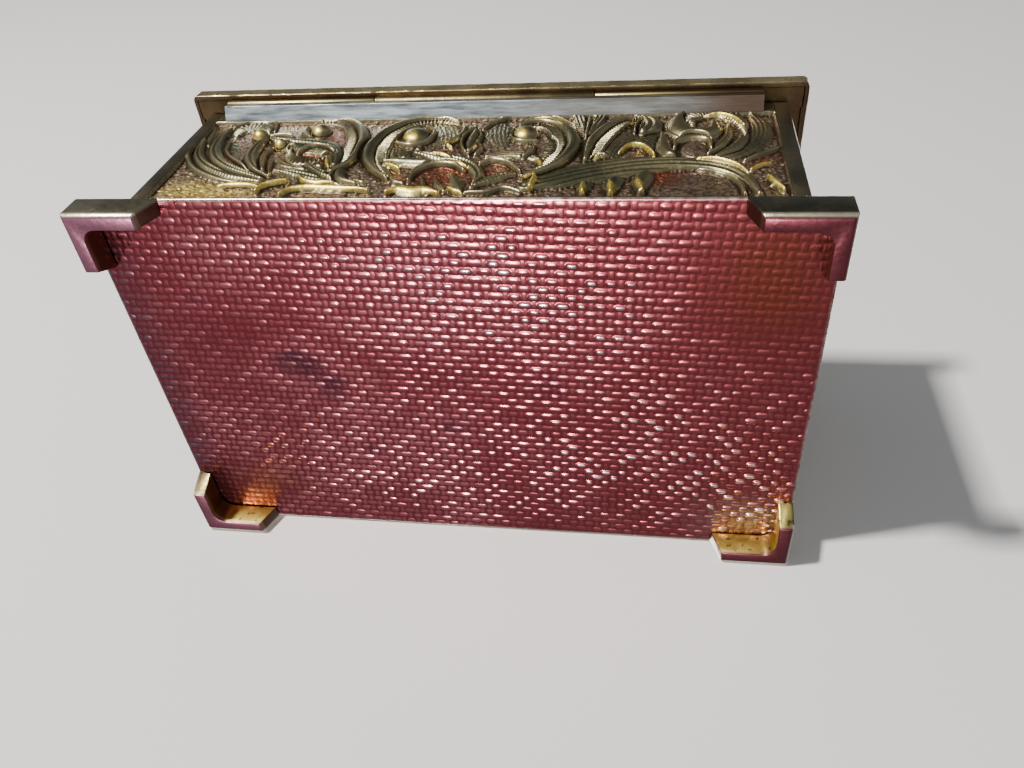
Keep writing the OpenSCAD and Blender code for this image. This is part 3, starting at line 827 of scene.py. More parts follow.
def make_base(material):
    """The base plate, woven underneath, with its corners let into the feet."""
    random = np.random.default_rng(4)
    foot_x, foot_y = FOOT_HIGH[0], FOOT_HIGH[1]
    p = grid_lines(BASE_LOW[0], BASE_HIGH[0], FINE_STEP,
                   (foot_x, -foot_x, BASE_LOW[0] + FOOT_LIP, BASE_HIGH[0] - FOOT_LIP))
    q = grid_lines(BASE_LOW[1], BASE_HIGH[1], FINE_STEP,
                   (foot_y, -foot_y, BASE_LOW[1] + FOOT_LIP, BASE_HIGH[1] - FOOT_LIP))
    grid_p, grid_q = np.meshgrid(p, q)
    edge = np.minimum(BASE_HIGH[0] - abs(grid_p), BASE_HIGH[1] - abs(grid_q))
    crispness = 0.42 + 0.15 * noise_field(grid_p.shape, 50, random)
    for centre, size, more in CRISP:
        crispness = crispness + more * soft_spot(grid_p, grid_q, centre, size)
    weave = weave_relief(grid_p, grid_q, np.clip(crispness, 0.16, 1), random)
    flat_border = unit((edge - 0.25) / 0.5)
    height = WEAVE_DEPTH * (weave * flat_border - 0.75) + fade_to_edge(edge, 0.3, 0.25)
    height += 0.05 * noise_field(height.shape, 40, random)
    mid_p, mid_q = abs(p[:-1] + p[1:]) / 2, abs(q[:-1] + q[1:]) / 2
    cut_p, cut_q = np.meshgrid(mid_p, mid_q)
    near_end, near_side = cut_p > BASE_HIGH[0] - FOOT_LIP, cut_q > BASE_HIGH[1] - FOOT_LIP
    in_foot = (near_side & (cut_p > -foot_x)) | (near_end & (cut_q > -foot_y))
    patches = noise_field(height.shape, 10, random)
    fine = noise_field(height.shape, 3, random)
    tarnish = sum(
        dark * soft_spot(grid_p, grid_q, centre, size) for centre, size, dark in TARNISH
    )
    tarnish = unit(tarnish * (1 + 0.9 * patches + 0.5 * fine))
    # a grey strip along the right end, a painted gold reflection inside the front right foot, and
    # bright metal at the edges and in the front left corner, from wear with a painted highlight
    cold = unit(1.3 - (BASE_HIGH[0] - grid_p) / 5) * (0.9 + 0.5 * patches)
    # a painted gold reflection of the front right foot
    gold_reflection_glow = soft_spot(grid_p, grid_q, (39, -23.5), (8, 5)) * (0.5 + 0.3 * patches)
    pale = 0.5 * soft_spot(grid_p, grid_q, (-45, -27), (9, 6))
    # bright edges and front left corner: wear with a painted highlight
    rubbed_and_highlit = unit(np.maximum(1 - edge / 0.5, pale))

    def place(a, b, h):
        return np.stack([a, b, BASE_LOW[2] - h], -1)

    # warm is a brown back left corner, and deep the darker left half
    values = {
        "relief": unit(weave),
        "tarnish": tarnish,
        "cold": unit(cold),
        "gold_reflection_glow": unit(gold_reflection_glow),
        "warm": 0.85 * soft_spot(grid_p, grid_q, (-43, 20), (10, 13)),
        "rubbed_and_highlit": rubbed_and_highlit * np.clip(0.6 + 1.2 * fine, 0.1, 1),
        "deep": unit(0.2 - grid_p / 40) * (0.8 + 0.4 * patches),
    }
    thickness = BASE_HIGH[2] - BASE_LOW[2]
    piece = relief_slab(
        "base_plate_weave", place, p, q, height, -thickness, values, keep=~in_foot
    )
    bm = bmesh.new()
    bm.from_mesh(piece.data)
    bmesh.ops.reverse_faces(bm, faces=bm.faces[:])
    bm.to_mesh(piece.data)
    bm.free()
    finish_piece(piece, material, "box", "base_plate")


# ---- the feet ----

RUBBED_RADIUS = 0.7  # of a foot's outer lower edges
CAST_RADIUS = 0.16  # of its other edges


def make_foot(node, material):
    """A bracket foot: the CAD's shape with its rubbed lower edge and cast corners rounded."""
    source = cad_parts[node].data
    bm = bmesh.new()
    bm.from_mesh(source)
    bmesh.ops.remove_doubles(bm, verts=bm.verts[:], dist=1e-6)
    bmesh.ops.dissolve_limit(
        bm, angle_limit=math.radians(1), verts=bm.verts[:], edges=bm.edges[:]
    )
    outer_x, outer_y = BASE_HIGH[0] * MM, BASE_HIGH[1] * MM

    def at_outer_wall(edge):
        return any(
            all(abs(abs(v.co[axis]) - outer) < 1e-5 for v in edge.verts)
            for axis, outer in ((0, outer_x), (1, outer_y))
        )

    rubbed_and_highlit = [
        e for e in bm.edges if at_outer_wall(e) and max(v.co.z for v in e.verts) < 1e-5
    ]
    round_edges(bm, rubbed_and_highlit, RUBBED_RADIUS, 5)
    sharp = [e for e in bm.edges if len(e.link_faces) == 2 and e.calc_face_angle() > 0.6]
    round_edges(bm, sharp, CAST_RADIUS, 2)
    mesh = bpy.data.meshes.new(node + "_cast")
    bm.to_mesh(mesh)
    bm.free()
    piece = add_object(node + "_cast", mesh)
    smooth_by_angle(piece, 30)
    finish_piece(piece, material, "box", node)


# ---- the lid ----

RING_STEP = 0.45  # between two points along a side of the lid's border
RING_CORNER_PARTS = 6


def ring_outline(half_x, half_y, radius, inset):
    """Points round a rectangle with rounded corners, moved inwards by inset."""
    x, y = half_x - inset, half_y - inset
    r = max(radius - inset, 0.02)
    points = []
    corners = [(x - r, y - r, 0), (-(x - r), y - r, 90), (-(x - r), -(y - r), 180),
               (x - r, -(y - r), 270)]
    parts = [int(2 * half / RING_STEP) for half in (half_x, half_y, half_x, half_y)]
    for k, (cx, cy, angle) in enumerate(corners):
        turn = np.radians(angle + np.linspace(0, 90, RING_CORNER_PARTS + 1))
        arc = np.stack([cx + r * np.cos(turn), cy + r * np.sin(turn)], -1)
        points.append(arc)
        nx, ny, next_angle = corners[(k + 1) % 4]
        start = arc[-1]
        end = np.array([nx + r * math.cos(math.radians(next_angle)),
                        ny + r * math.sin(math.radians(next_angle))])
        t = np.linspace(0, 1, parts[k] + 1)[1:-1, None]
        points.append(start + (end - start) * t)
    return np.vstack(points)


def swept_ring(name, half_x, half_y, radius, profile, roughness, seed):
    """A closed frame: a profile carried round the rectangle, with an uneven surface.

    The profile's points are an inset, a height and how much of the roughness there is.
    """
    random = np.random.default_rng(seed)
    rings = []
    for inset, z, rough in profile:
        outline = ring_outline(half_x, half_y, radius, inset)
        push = roughness * rough * random.normal(0, 1, len(outline))
        push = np.convolve(np.pad(push, 1, mode="wrap"), [0.25, 0.5, 0.25], "valid")
        outward = outline / np.linalg.norm(outline, axis=1)[:, None]
        moved = outline + outward * push[:, None]
        rings.append(np.column_stack([moved, np.full(len(outline), z)]))
    count, around = len(rings), len(rings[0])
    number = np.arange(count * around).reshape(count, around)
    following = np.roll(number, -1, axis=1)
    below = np.roll(number, -1, axis=0)
    below_following = np.roll(below, -1, axis=1)
    quads = np.stack([number, following, below_following, below], -1).reshape(-1, 4)
    piece = mesh_piece(name, np.vstack(rings), [quads], [True])
    smooth_by_angle(piece, 35)
    return piece


def lid_profile():
    """The lid's border in section, from the outer lower edge up and round to the start."""
    bottom, top = LID_LOW[2], LID_TOP
    face = [(0.0, z, 1.0) for z in np.linspace(bottom + 0.2, top - 0.3, 9)]
    return (
        [(0.14, bottom + 0.02, 0.3), (0.04, bottom + 0.1, 0.6)] + face
        + [(0.05, top - 0.14, 0.8), (0.16, top - 0.04, 0.4), (0.34, top, 0.2)]
        + [(LID_BORDER / 2, top, 0.1), (LID_BORDER + 0.05, top, 0)]
        + [(LID_BORDER + 0.05, LID_RECESS_Z, 0), (LID_LIP + 0.1, LID_RECESS_Z, 0)]
        + [(LID_LIP, LID_RECESS_Z - 0.08, 0), (LID_LIP, bottom + 0.05, 0)]
        + [(LID_LIP - 0.06, bottom, 0), (0.3, bottom, 0.1)]
    )


def lid_pattern(relief):
    """A quarter of scrolls, mirrored both ways, about an oval boss."""
    for flip_p in (1, -1):
        for flip_q in (1, -1):
            for rows in (SPRAY, VOLUTE):
                draw(relief, rows, lambda p, q, a=flip_p, b=flip_q: (a * p, b * (q - 5.2)))
    for flip in (1, -1):
        draw(relief, BUD, lambda p, q, flip=flip: (p, flip * (q - 8)))
    relief.shell((0, 0), (11, 7.5), 0.8, 36)
    relief.shell((0, 0), (8.4, 5.4), 1.0, 24)


LID_STEP = 0.22  # between two grid lines of the lid's panel
LID_FRAME = 1.6  # plain frame round the panel's relief


def make_lid(relief_material, edge_material):
    """The lid: a border with a grained edge, and a raised panel with scrolls."""
    half_x, half_y = LID_HIGH[0], LID_HIGH[1]
    border = swept_ring("lid_border", half_x, half_y, 0.9, lid_profile(), 0.035, 8)
    bar_low = np.array([-half_x + LID_LIP - 0.3, half_y - LID_BAR, LID_LOW[2]])
    bar_high = np.array([half_x - LID_LIP + 0.3, half_y - LID_LIP + 0.2, LID_RECESS_Z + 0.3])
    bar = rounded_bar("bar", bar_low, bar_high, 0.05, 2)
    border = joined([border, bar])
    finish_piece(border, edge_material, "lid", "lid_plate")
    random = np.random.default_rng(9)
    edge_p, edge_q = half_x - LID_BORDER, half_y - LID_BORDER
    p = grid_lines(-edge_p, edge_p, LID_STEP)
    q = grid_lines(-edge_q, edge_q, LID_STEP)
    relief = cast_relief(p, q, lid_pattern, 0.18, random)
    edge = np.minimum(edge_p - abs(relief.p), edge_q - abs(relief.q))
    in_field = unit((edge - LID_FRAME) / 0.3)
    level = LID_TOP + 0.4
    height = level + in_field * (relief.height - 0.6) + fade_to_edge(edge, 0.4, 0.4)
    height = np.minimum(smoothed(height, 1), LID_HIGH[2])

    def place(a, b, h):
        return np.stack([a, b, h], -1)

    values = value_maps(relief, height, 1 - in_field, 4)
    panel = relief_slab("lid_top_relief", place, p, q, height, LID_RECESS_Z, values)
    finish_piece(panel, relief_material, "lid", "lid_plate")


# ---- materials ----

class Nodes:
    """Short names for the nodes that the materials and the room's light are made of."""

    def __init__(self, tree):
        self.tree = tree

    def node(self, kind, **inputs):
        """A new node, with values or sockets plugged into its inputs by name."""
        made = self.tree.nodes.new("ShaderNode" + kind)
        for key, value in inputs.items():
            self.plug(made.inputs[key.replace("_", " ")], value)
        return made

    def plug(self, socket, value):
        """Links a socket to an input, or sets the input to a constant. A tuple is a colour."""
        if isinstance(value, bpy.types.NodeSocket):
            self.tree.links.new(value, socket)
        else:
            socket.default_value = (*value, 1.0) if isinstance(value, tuple) else value

    def place(self, stretch=(1, 1, 1)):
        """The point on the object, in millimetres, stretched along the axes."""
        point = self.node("TexCoord").outputs["Object"]
        mapping = self.node("Mapping", Vector=point, Scale=[s / MM for s in stretch])
        return mapping.outputs["Vector"]

    def position(self):
        """The same point's X, Y and Z."""
        return self.node("SeparateXYZ", Vector=self.place()).outputs

    def noise(self, size, detail=3.0, stretch=(1, 1, 1), rough=0.5):
        """Noise with features of about size mm."""
        made = self.node("TexNoise", Vector=self.place(stretch), Scale=1 / size,
                         Detail=detail, Roughness=rough)
        return made.outputs["Fac"]

    def value(self, name):
        """A number that point_values stored on the piece."""
        made = self.node("Attribute")
        made.attribute_name = name
        return made.outputs["Fac"]

    def step(self, value, low, high):
        """0 at low and beyond it, 1 at high and beyond it, and smooth between."""
        made = self.node("MapRange", Value=value, From_Min=low, From_Max=high)
        made.interpolation_type = "SMOOTHSTEP"
        return made.outputs["Result"]

    def scale(self, value, low, high):
        """The value's 0 to 1 turned into low to high."""
        return self.node("MapRange", Value=value, To_Min=low, To_Max=high).outputs["Result"]

    def math(self, operation, a, b=0.0):
        """One operation on two numbers."""
        made = self.node("Math")
        made.operation = operation
        self.plug(made.inputs[0], a)
        self.plug(made.inputs[1], b)
        return made.outputs["Value"]

    def times(self, a, b):
        """a times b."""
        return self.math("MULTIPLY", a, b)

    def plus(self, a, b):
        """a plus b."""
        return self.math("ADD", a, b)

    def mix(self, share, a, b):
        """Colour a where share is 0, and b where it is 1."""
        made = self.node("Mix")
        made.data_type = "RGBA"
        self.plug(made.inputs["Factor"], share)
        self.plug(made.inputs[6], a)
        self.plug(made.inputs[7], b)
        return made.outputs[2]

    def fade(self, value, low, high, a, b):
        """Colour a where value is at low or beyond it, b at high, and smooth between."""
        return self.mix(self.step(value, low, high), a, b)

    def bump(self, height, strength, distance, before=None):
        """A normal from heights up to distance mm, on top of the one before."""
        made = self.node("Bump", Height=height, Strength=strength, Distance=distance * MM)
        if before is not None:
            self.plug(made.inputs["Normal"], before)
        return made.outputs["Normal"]


class Shader(Nodes):
    """A material's nodes, which end in its surface."""

    def __init__(self, name, metallic):
        self.material = bpy.data.materials.new(name)
        self.material.use_nodes = True
        super().__init__(self.material.node_tree)
        self.surface = self.tree.nodes["Principled BSDF"]
        self.plug(self.surface.inputs["Metallic"], metallic)

    def finish(self, colour, roughness, normal=None):
        """Plugs these into the surface."""
        self.plug(self.surface.inputs["Base Color"], colour)
        self.plug(self.surface.inputs["Roughness"], roughness)
        if normal is not None:
            self.plug(self.surface.inputs["Normal"], normal)
        return self.material

    def finish_grained(self, colour, broad, grain):
        """The surface of aged brass with a fine cast grain."""
        colour = self.fade(grain, 0.56, 0.7, colour, (0.1, 0.075, 0.045))
        rough = self.plus(self.scale(broad, 0.28, 0.42), self.scale(grain, -0.06, 0.14))
        return self.finish(colour, rough, self.bump(grain, 0.6, 0.05))


def antique_brass():
    """Cast brass: red-brown in the recesses, a dull ground, dark polished forms, rubbed gold;
    paler crests and the gold are partly painted highlight.
    """
    s = Shader("antique_brass", 1.0)
    relief, cavity = s.value("relief"), s.value("cavity")
    polish, gilt_and_glint = s.value("polish"), s.value("gilt_and_glint")
    broad, fine = s.noise(9, 4), s.noise(0.5, 4)
    recess = s.mix(s.value("red"), (0.075, 0.052, 0.03), (0.2, 0.05, 0.03))
    ground = s.fade(fine, 0.3, 0.7, (0.14, 0.095, 0.06), (0.36, 0.27, 0.195))
    ground = s.mix(s.value("red"), ground, (0.24, 0.08, 0.045))
    smooth = s.fade(broad, 0.35, 0.65, (0.15, 0.15, 0.085), (0.3, 0.26, 0.14))
    colour = s.mix(polish, ground, smooth)
    # paler crests: partly rubbed metal, partly a painted highlight
    crest = s.times(s.step(cavity, 0.62, 0.8), s.scale(fine, 0.3, 1.0))
    colour = s.mix(crest, colour, (0.5, 0.4, 0.24))
    # darker in the hollows
    noisy_cavity = s.plus(cavity, s.times(s.math("SUBTRACT", fine, 0.5), 0.2))
    colour = s.fade(noisy_cavity, 0.44, 0.3, colour, recess)
    # rubbed gold: bright metal with a painted gold highlight
    bright = s.times(gilt_and_glint, s.step(cavity, 0.38, 0.52))
    gold = s.fade(fine, 0.35, 0.65, (0.64, 0.47, 0.09), (1.0, 0.8, 0.2))
    colour = s.mix(bright, colour, gold)
    rough = s.plus(s.scale(polish, 0.46, 0.36), s.scale(fine, -0.06, 0.12))
    rough = s.math("SUBTRACT", rough, s.times(relief, 0.05))
    rough = s.plus(rough, s.times(bright, 0.08))
    normal = s.bump(s.noise(0.22, 3), 0.3, 0.03, s.bump(s.noise(0.8, 3), 0.5, 0.08))
    return s.finish(colour, rough, normal)


def plain_olive():
    """The smooth posts: polished brass, dark olive, with brown spots and faint scratches."""
    s = Shader("olive_brass", 1.0)
    broad, fine = s.noise(5, 4), s.noise(0.5, 3)
    scratch = s.noise(0.12, 2, (0.06, 1, 1))
    colour = s.fade(broad, 0.35, 0.7, (0.2, 0.185, 0.13), (0.3, 0.25, 0.16))
    colour = s.fade(fine, 0.62, 0.75, colour, (0.12, 0.085, 0.05))
    rough = s.plus(s.scale(broad, 0.22, 0.4), s.scale(scratch, -0.03, 0.08))
    normal = s.bump(scratch, 0.15, 0.01, s.bump(s.noise(1.2, 3), 0.25, 0.03))
    return s.finish(colour, rough, normal)


def woven_nickel():
    """The underside: nickel tinted rose as a painted reflection of a red cloth, with painted shade
    between the threads, tarnished in patches.
    """
    s = Shader("woven_nickel", 1.0)
    relief, tarnish = s.value("relief"), s.value("tarnish")
    broad, fine = s.noise(16, 4), s.noise(0.6, 4)
    # the rose of the threads is a painted reflection of a red cloth
    thread = s.fade(broad, 0.35, 0.65, (0.44, 0.105, 0.125), (0.66, 0.21, 0.235))
    thread = s.mix(s.value("deep"), thread, (0.36, 0.075, 0.075))
    thread = s.mix(s.value("cold"), thread, (0.2, 0.13, 0.17))
    # a painted gold reflection of the front right foot on the plate
    thread = s.mix(s.value("gold_reflection_glow"), thread, (0.85, 0.4, 0.16))
    # painted shade: dark red between the threads
    colour = s.fade(relief, 0.0, 0.28, (0.27, 0.05, 0.062), thread)
    # paler thread crowns: partly wear, partly a painted highlight
    colour = s.fade(relief, 0.55, 0.95, colour, (0.95, 0.74, 0.73))
    colour = s.mix(s.value("warm"), colour, (0.27, 0.065, 0.04))
    spotted = s.times(tarnish, s.scale(fine, 0.5, 1.3))
    colour = s.fade(spotted, 0.08, 0.8, colour, (0.12, 0.035, 0.05))
    # bright metal at the edges and the front left corner: wear with a painted highlight
    colour = s.mix(s.value("rubbed_and_highlit"), colour, (0.85, 0.72, 0.62))
    plain = s.fade(broad, 0.35, 0.65, (0.34, 0.29, 0.2), (0.48, 0.42, 0.3))
    colour = s.fade(s.position()["Z"], BASE_LOW[2] + 0.2, BASE_LOW[2] + 0.5, colour, plain)
    rough = s.plus(s.scale(relief, 0.27, 0.12), s.scale(fine, -0.03, 0.06))
    rough = s.plus(rough, s.times(tarnish, 0.1))
    normal = s.bump(s.noise(0.2, 3), 0.2, 0.02)
    return s.finish(colour, rough, normal)


def foot_brass():
    """Cast feet: dark olive outside, bright at the ground from wear and a painted highlight, warm
    gold inside in front; their light, shade and red soles are painted.
    """
    s = Shader("foot_brass", 1.0)
    position = s.position()
    broad, fine, pits = s.noise(4, 4), s.noise(0.5, 4), s.noise(0.9, 2)
    far_x = s.math("ABSOLUTE", position["X"])
    far_y = s.math("ABSOLUTE", position["Y"])
    outer = s.math("MAXIMUM", s.step(far_x, BASE_HIGH[0] - 0.5, BASE_HIGH[0] - 0.1),
                   s.step(far_y, BASE_HIGH[1] - 0.5, BASE_HIGH[1] - 0.1))
    right = s.step(position["X"], -20, 20)
    rear = s.step(position["Y"], 0, 5)
    gold = s.fade(broad, 0.35, 0.65, (0.62, 0.52, 0.11), (0.84, 0.74, 0.19))
    gold = s.fade(pits, 0.6, 0.68, gold, (0.2, 0.13, 0.05))
    # painted shade in each foot's inner corner, deeper on the right feet
    corner = s.times(s.step(far_x, BASE_HIGH[0] - 4.4, BASE_HIGH[0] - 3.2),
                     s.scale(right, 0.35, 1.0))
    gold = s.mix(corner, gold, (0.14, 0.1, 0.045))
    # painted shade: the rear feet dark brown inside, the front ones gold
    inner = s.mix(rear, gold, (0.14, 0.08, 0.04))
    lean = s.times(position["Z"], FOOT_SLOPE / BASE_LOW[2])
    leg_end = FOOT_SLOPE - FOOT_HIGH[0]
    # painted shade: the legs' slanted ends dark brown
    slope = s.step(s.plus(far_x, lean), leg_end + 0.2, leg_end + 0.1)
    inner = s.mix(slope, inner, (0.16, 0.085, 0.06))
    olive = s.fade(broad, 0.35, 0.7, (0.13, 0.125, 0.09), (0.2, 0.19, 0.13))
    # painted light: the outer faces of the right feet lighter
    olive = s.mix(right, olive, (0.27, 0.25, 0.175))
    colour = s.mix(outer, inner, olive)
    # painted reflection of a red cloth on the soles, lighter on the right feet, most on the rear
    # one
    light = s.times(right, s.scale(rear, 0.45, 1.0))
    red_cloth_reflection = s.mix(light, (0.19, 0.05, 0.06), (0.44, 0.18, 0.25))
    colour = s.fade(position["Z"], 0.5, 0.1, colour, red_cloth_reflection)
    # a bright band near the ground, mostly on outer faces: wear with a painted highlight
    worn_and_highlit = s.times(s.step(position["Z"], 1.0, 0.7), s.step(position["Z"], 0.05, 0.3))
    worn_and_highlit = s.times(worn_and_highlit, s.scale(outer, 0.15, 1.0))
    colour = s.mix(worn_and_highlit, colour, (0.85, 0.76, 0.55))
    colour = s.fade(fine, 0.66, 0.8, colour, (0.1, 0.08, 0.05))
    rough = s.plus(s.scale(broad, 0.22, 0.42), s.scale(fine, -0.05, 0.1))
    normal = s.bump(pits, 0.5, 0.06, s.bump(s.noise(0.8, 4), 0.4, 0.05))
    return s.finish(colour, rough, normal)


def hinge_steel():
    """Steel brushed along the hinge, with scratches, painted shade towards one end and browner at
    that end.
    """
    s = Shader("hinge_steel", 1.0)
    brushed = s.noise(0.3, 4, (0.08, 1, 1))
    streak = s.noise(0.9, 4, (0.12, 1, 1), 0.6)
    position = s.position()
    colour = s.fade(streak, 0.3, 0.7, (0.23, 0.25, 0.25), (0.82, 0.91, 0.93))
    colour = s.fade(brushed, 0.6, 0.78, colour, (0.16, 0.15, 0.135))
    shade = s.times(s.step(position["X"], 10, -20), 0.6)
    colour = s.mix(shade, colour, (0.33, 0.28, 0.21))
    leaf_top = box_mm("hinge_leaf_body")[1][2]
    # the leaf's top: a gold band for its lit edge as a painted highlight, with dark brown above as
    # a painted shadow in the slot under the lid
    lit_edge_and_slot_shadow = s.fade(position["Z"], leaf_top - 1.5, leaf_top - 1.1,
                    (0.36, 0.29, 0.12), (0.1, 0.075, 0.035))
    colour = s.fade(position["Z"], leaf_top - 2.0, leaf_top - 1.9, colour, lit_edge_and_slot_shadow)
    # browner at the -X end, in streaks
    browner_end = s.times(s.step(position["X"], -27, -40), s.scale(streak, 0.6, 1.0))
    colour = s.mix(browner_end, colour, (0.15, 0.07, 0.03))
    rough = s.plus(s.scale(streak, 0.24, 0.4), s.scale(brushed, -0.05, 0.12))
    normal = s.bump(brushed, 0.5, 0.05, s.bump(s.noise(2.5, 2), 0.5, 0.1))
    return s.finish(colour, rough, normal)


def grained_brass(name, light, dark, grain_size):
    """Aged brass with a fine cast grain."""
    s = Shader(name, 1.0)
    broad, grain = s.noise(6, 4), s.noise(grain_size, 4)
    return s.finish_grained(s.fade(broad, 0.35, 0.7, dark, light), broad, grain)


def lid_brass():
    """The lid's border: grained brass, bright on its sides as painted light and dark brown
    underneath as painted shade.
    """
    s = Shader("lid_brass", 1.0)
    position = s.position()
    broad, grain = s.noise(6, 4), s.noise(0.3, 4)
    far_x = s.math("ABSOLUTE", position["X"])
    far_y = s.math("ABSOLUTE", position["Y"])
    # painted light and shade by face: bright sides, a mid-toned top and a dark brown underside
    side = s.math("MAXIMUM", s.step(far_x, LID_HIGH[0] - 0.35, LID_HIGH[0] - 0.2),
                  s.step(far_y, LID_HIGH[1] - 0.35, LID_HIGH[1] - 0.2))
    side = s.times(side, s.step(position["Z"], LID_LOW[2] + 0.06, LID_LOW[2] + 0.16))
    top = s.step(position["Z"], LID_TOP - 0.3, LID_TOP - 0.1)
    varied = s.step(broad, 0.35, 0.7)
    under = s.mix(varied, (0.11, 0.07, 0.04), (0.19, 0.13, 0.065))
    colour = s.mix(side, under, s.mix(varied, (0.52, 0.43, 0.22), (0.76, 0.65, 0.36)))
    colour = s.mix(top, colour, s.mix(varied, (0.34, 0.27, 0.145), (0.52, 0.42, 0.24)))
    return s.finish_grained(colour, broad, grain)


def velvet():
    """Short-pile velvet, darker where the pile is brushed the other way."""
    s = Shader("velvet", 0.0)
    brushed, pile = s.noise(6, 3), s.noise(0.12, 2)
    colour = s.fade(brushed, 0.35, 0.65, (0.09, 0.006, 0.012), (0.15, 0.012, 0.021))
    colour = s.mix(s.scale(pile, 0.0, 0.5), colour, (0.2, 0.02, 0.035))
    s.plug(s.surface.inputs["Sheen Weight"], 0.4)
    s.plug(s.surface.inputs["Sheen Roughness"], 0.35)
    s.plug(s.surface.inputs["Sheen Tint"], (0.9, 0.35, 0.4))
    s.plug(s.surface.inputs["Specular IOR Level"], 0.2)
    normal = s.bump(pile, 0.7, 0.08)
    return s.finish(colour, s.scale(pile, 0.8, 0.95), normal)


# ---- the parts kept from the CAD ----

def soften_edges(node, width, material):
    """Keeps a CAD node and rounds its edges a little."""
    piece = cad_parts[node]
    weld = piece.modifiers.new("weld", "WELD")
    weld.merge_threshold = 1e-6
    bevel = piece.modifiers.new("bevel", "BEVEL")
    bevel.width = width * MM
    bevel.segments = 2
    bevel.limit_method = "ANGLE"
    bevel.angle_limit = math.radians(35)
    paint(piece, material)


# ---- the velvet linings ----

PAD_STEP = 0.5  # between two grid lines of a pad
PAD_SHOULDER = 1.4  # how far its rounded edge reaches in


def puffed_pad(name, low, high, crown, seed, down):
    """A stuffed pad: flat on its seat, crowned above, with soft edges and faint creases."""
    random = np.random.default_rng(seed)
    p, q = grid_lines(low[0], high[0], PAD_STEP), grid_lines(low[1], high[1], PAD_STEP)
    grid_p, grid_q = np.meshgrid(p, q)
    thickness = high[2] - low[2]
    edge = np.minimum.reduce([
        grid_p - low[0], high[0] - grid_p, grid_q - low[1], high[1] - grid_q,
    ])
    shoulder = np.sqrt(unit(1 - unit(1 - edge / PAD_SHOULDER) ** 2))
    swell = 1 - crown * (1 - unit(edge / 9)) ** 2
    height = thickness * (0.25 + 0.75 * shoulder * swell)
    height += 0.05 * noise_field(height.shape, 9, random) * unit(edge / 2)
    height = np.minimum(height, thickness)

    def place(a, b, h):
        z = high[2] - h if down else low[2] + h
        return np.stack([a, b, z], -1)

    piece = relief_slab(name, place, p, q, height, 0.0, {})
    if down:
        piece.data.flip_normals()
    return piece


def make_linings(material):
    """The two pads and the four covered cards."""
    for node, body, down in (("floor_lining", "box", False), ("lid_lining", "lid", True)):
        low, high = box_mm(node)
        pad = puffed_pad(node + "_pad", low, high, 0.18, 21, down)
        finish_piece(pad, material, body, node)
    for side in ("front", "back", "left", "right"):
        node = "lining_" + side
        low, high = box_mm(node)
        card = rounded_bar(node + "_card", low, high, 0.3, 4)
        smooth_by_angle(card, 40)
        finish_piece(card, material, "box", node)


# ---- camera, light and floor ----

CAMERA_AT = Vector((-27.5, 83.05, -89.74)) * MM
CAMERA_AIM = Vector((0.15899, -0.64688, 0.74583))
CAMERA_UP = Vector((0.03141, 0.75837, 0.65106))
CAMERA_LENS = 29.6


def make_camera():
    data = bpy.data.cameras.new("camera")
    data.lens = CAMERA_LENS
    data.sensor_width = 36.0
    data.clip_start = 0.005
    data.clip_end = 20
    camera = add_object("camera", data)
    right = CAMERA_AIM.cross(CAMERA_UP).normalized()
    up = right.cross(CAMERA_AIM).normalized()
    turn = Matrix((right, up, -CAMERA_AIM.normalized())).transposed()
    camera.matrix_world = Matrix.Translation(CAMERA_AT) @ turn.to_4x4()
    bpy.context.scene.camera = camera


def area_light(name, direction, distance, size, power, colour=(1, 1, 1)):
    """A square light at that distance from the box's middle, facing it."""
    data = bpy.data.lights.new(name, "AREA")
    data.shape = "RECTANGLE"
    data.size, data.size_y = size
    data.energy = power
    data.color = colour
    light = add_object(name, data)
    toward = Vector(direction).normalized()
    centre = (cad_low + cad_high) / 2
    light.location = centre + toward * distance
    light.rotation_mode = "QUATERNION"
    light.rotation_quaternion = toward.to_track_quat("Z", "Y")
    light.visible_camera = False


ROOM = (0.34, 0.35, 0.37)
# Soft patches on the room's walls: the direction of each, the cosines of the angles from it at
# which the patch starts and is full, and its colour
ROOM_PATCHES = [
    ((0.16, 0.65, 0.75), 0.4, 0.95, (0.1, 0.1, 0.1)),
    ((0.16, -0.65, -0.75), 0.5, 0.95, (0.31, 0.3, 0.31)),
    ((0.1, 0.05, -1.0), 0.87, 0.96, (1.4, 1.45, 1.5)),
]


def make_lights():
    area_light("key", (0.467, 0.874, -0.135), 0.8, (0.06, 0.06), 11.0, (1.0, 0.97, 0.93))
    area_light("window", (0.14, -0.1, -0.99), 0.5, (0.1, 0.05), 2.0, (1.0, 0.99, 0.98))
    area_light("top", (-0.3, -0.5, 0.85), 0.7, (0.5, 0.4), 7.0)
    area_light("front", (0.45, -0.85, 0.45), 0.7, (0.4, 0.3), 4.0)
    world = bpy.data.worlds.new("studio")
    bpy.context.scene.world = world
    world.use_nodes = True
    room = Nodes(world.node_tree)
    direction = room.node("TexCoord").outputs["Generated"]
    colour = ROOM
    for toward, start, full, patch in ROOM_PATCHES:
        dot = room.node("VectorMath")
        dot.operation = "DOT_PRODUCT"
        room.plug(dot.inputs[0], direction)
        room.plug(dot.inputs[1], Vector(toward).normalized())
        colour = room.fade(dot.outputs["Value"], start, full, colour, patch)
    background = world.node_tree.nodes["Background"]
    room.plug(background.inputs["Color"], colour)
    room.plug(background.inputs["Strength"], 1.0)


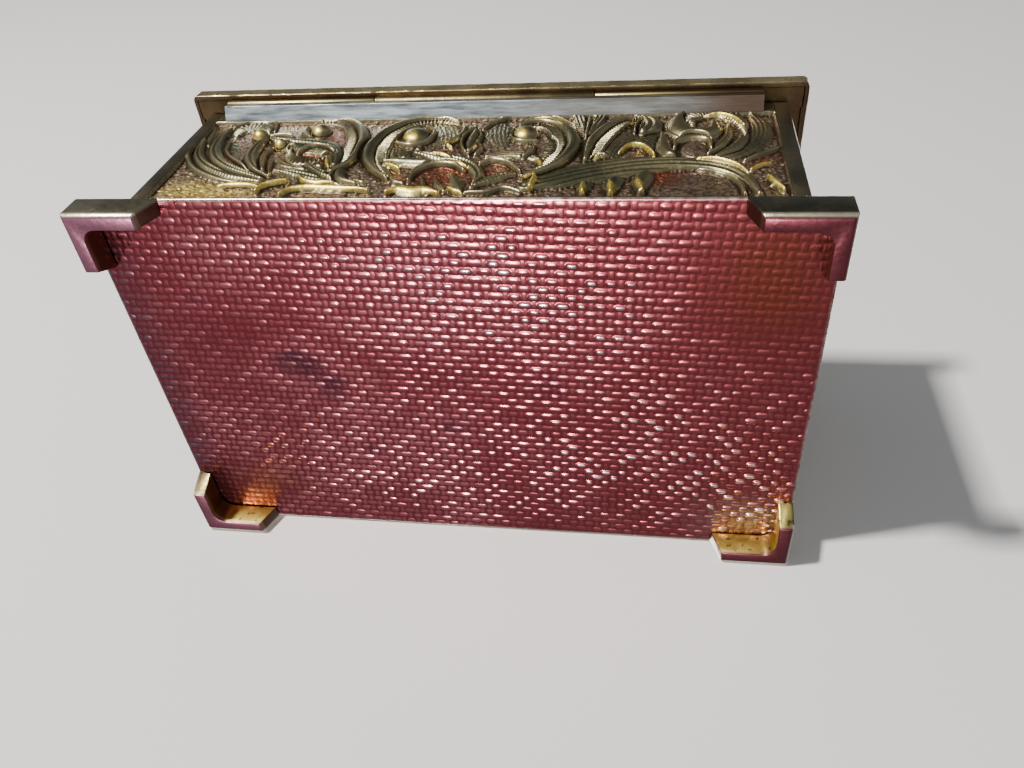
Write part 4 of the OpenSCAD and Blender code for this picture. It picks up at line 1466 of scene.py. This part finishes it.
def floor_material():
    """Pale paper, seen only from the side that the box is on."""
    s = Shader("floor", 0.0)
    side = s.node("MixShader", Fac=s.node("NewGeometry").outputs["Backfacing"])
    s.plug(side.inputs[1], s.surface.outputs["BSDF"])
    s.plug(side.inputs[2], s.node("BsdfTransparent").outputs["BSDF"])
    s.plug(s.tree.nodes["Material Output"].inputs["Surface"], side.outputs["Shader"])
    return s.finish((0.8, 0.785, 0.77), 0.9)


def make_floor(name, centre, first, second, material):
    """A rectangle about centre, spanned by the vectors first and second."""
    centre, first, second = Vector(centre), Vector(first), Vector(second)
    corners = [centre - first - second, centre + first - second,
               centre + first + second, centre - first + second]
    mesh = bpy.data.meshes.new(name)
    mesh.from_pydata([tuple(c) for c in corners], [], [(0, 1, 2, 3)])
    mesh.materials.append(material)
    floor = add_object(name, mesh)
    floor.visible_glossy = False
    floor.visible_diffuse = False
    floor.visible_transmission = False
    floor.visible_shadow = False


FLOOR_REACH = 3.0  # metres from its middle to its edge


def make_stage():
    """The ground under the feet, and the ground on which the box lies in the main view."""
    material = floor_material()
    make_floor("floor", (0, 0, -0.2 * MM), (FLOOR_REACH, 0, 0), (0, FLOOR_REACH, 0), material)
    make_floor("floor_on_its_front", (0, cad_low.y - 0.3 * MM, 0), (0, 0, FLOOR_REACH),
               (FLOOR_REACH, 0, 0), material)


# ---- build ----

make_camera()
make_lights()
make_stage()

brass = antique_brass()
olive = plain_olive()
make_base(woven_nickel())
foot_metal = foot_brass()
for end in ("front", "back"):
    for side in ("left", "right"):
        make_foot(f"foot_{end}_{side}", foot_metal)
make_long_wall("back_wall", WALL_FACE_Y, 1, long_pattern, 1, brass)
make_long_wall("front_wall", -WALL_FACE_Y, -1, long_pattern_mirrored, 2, brass)
make_short_wall("left_wall", -1, 3, brass, olive)
make_short_wall("right_wall", 1, 5, brass, olive)
make_lid(brass, lid_brass())
soften_edges("hinge_leaf_body", 0.12, hinge_steel())
hinge_gold = grained_brass("hinge_brass", (0.24, 0.19, 0.09), (0.14, 0.105, 0.05), 0.4)
soften_edges("hinge_leaf_lid", 0.05, hinge_gold)
soften_edges("hinge_pin", 0.05, hinge_gold)
rim_brass = grained_brass("rim_brass", (0.6, 0.47, 0.26), (0.45, 0.35, 0.19), 0.6)
for side in ("front", "back", "left", "right"):
    soften_edges("lid_rim_" + side, 0.15, rim_brass)
make_linings(velvet())
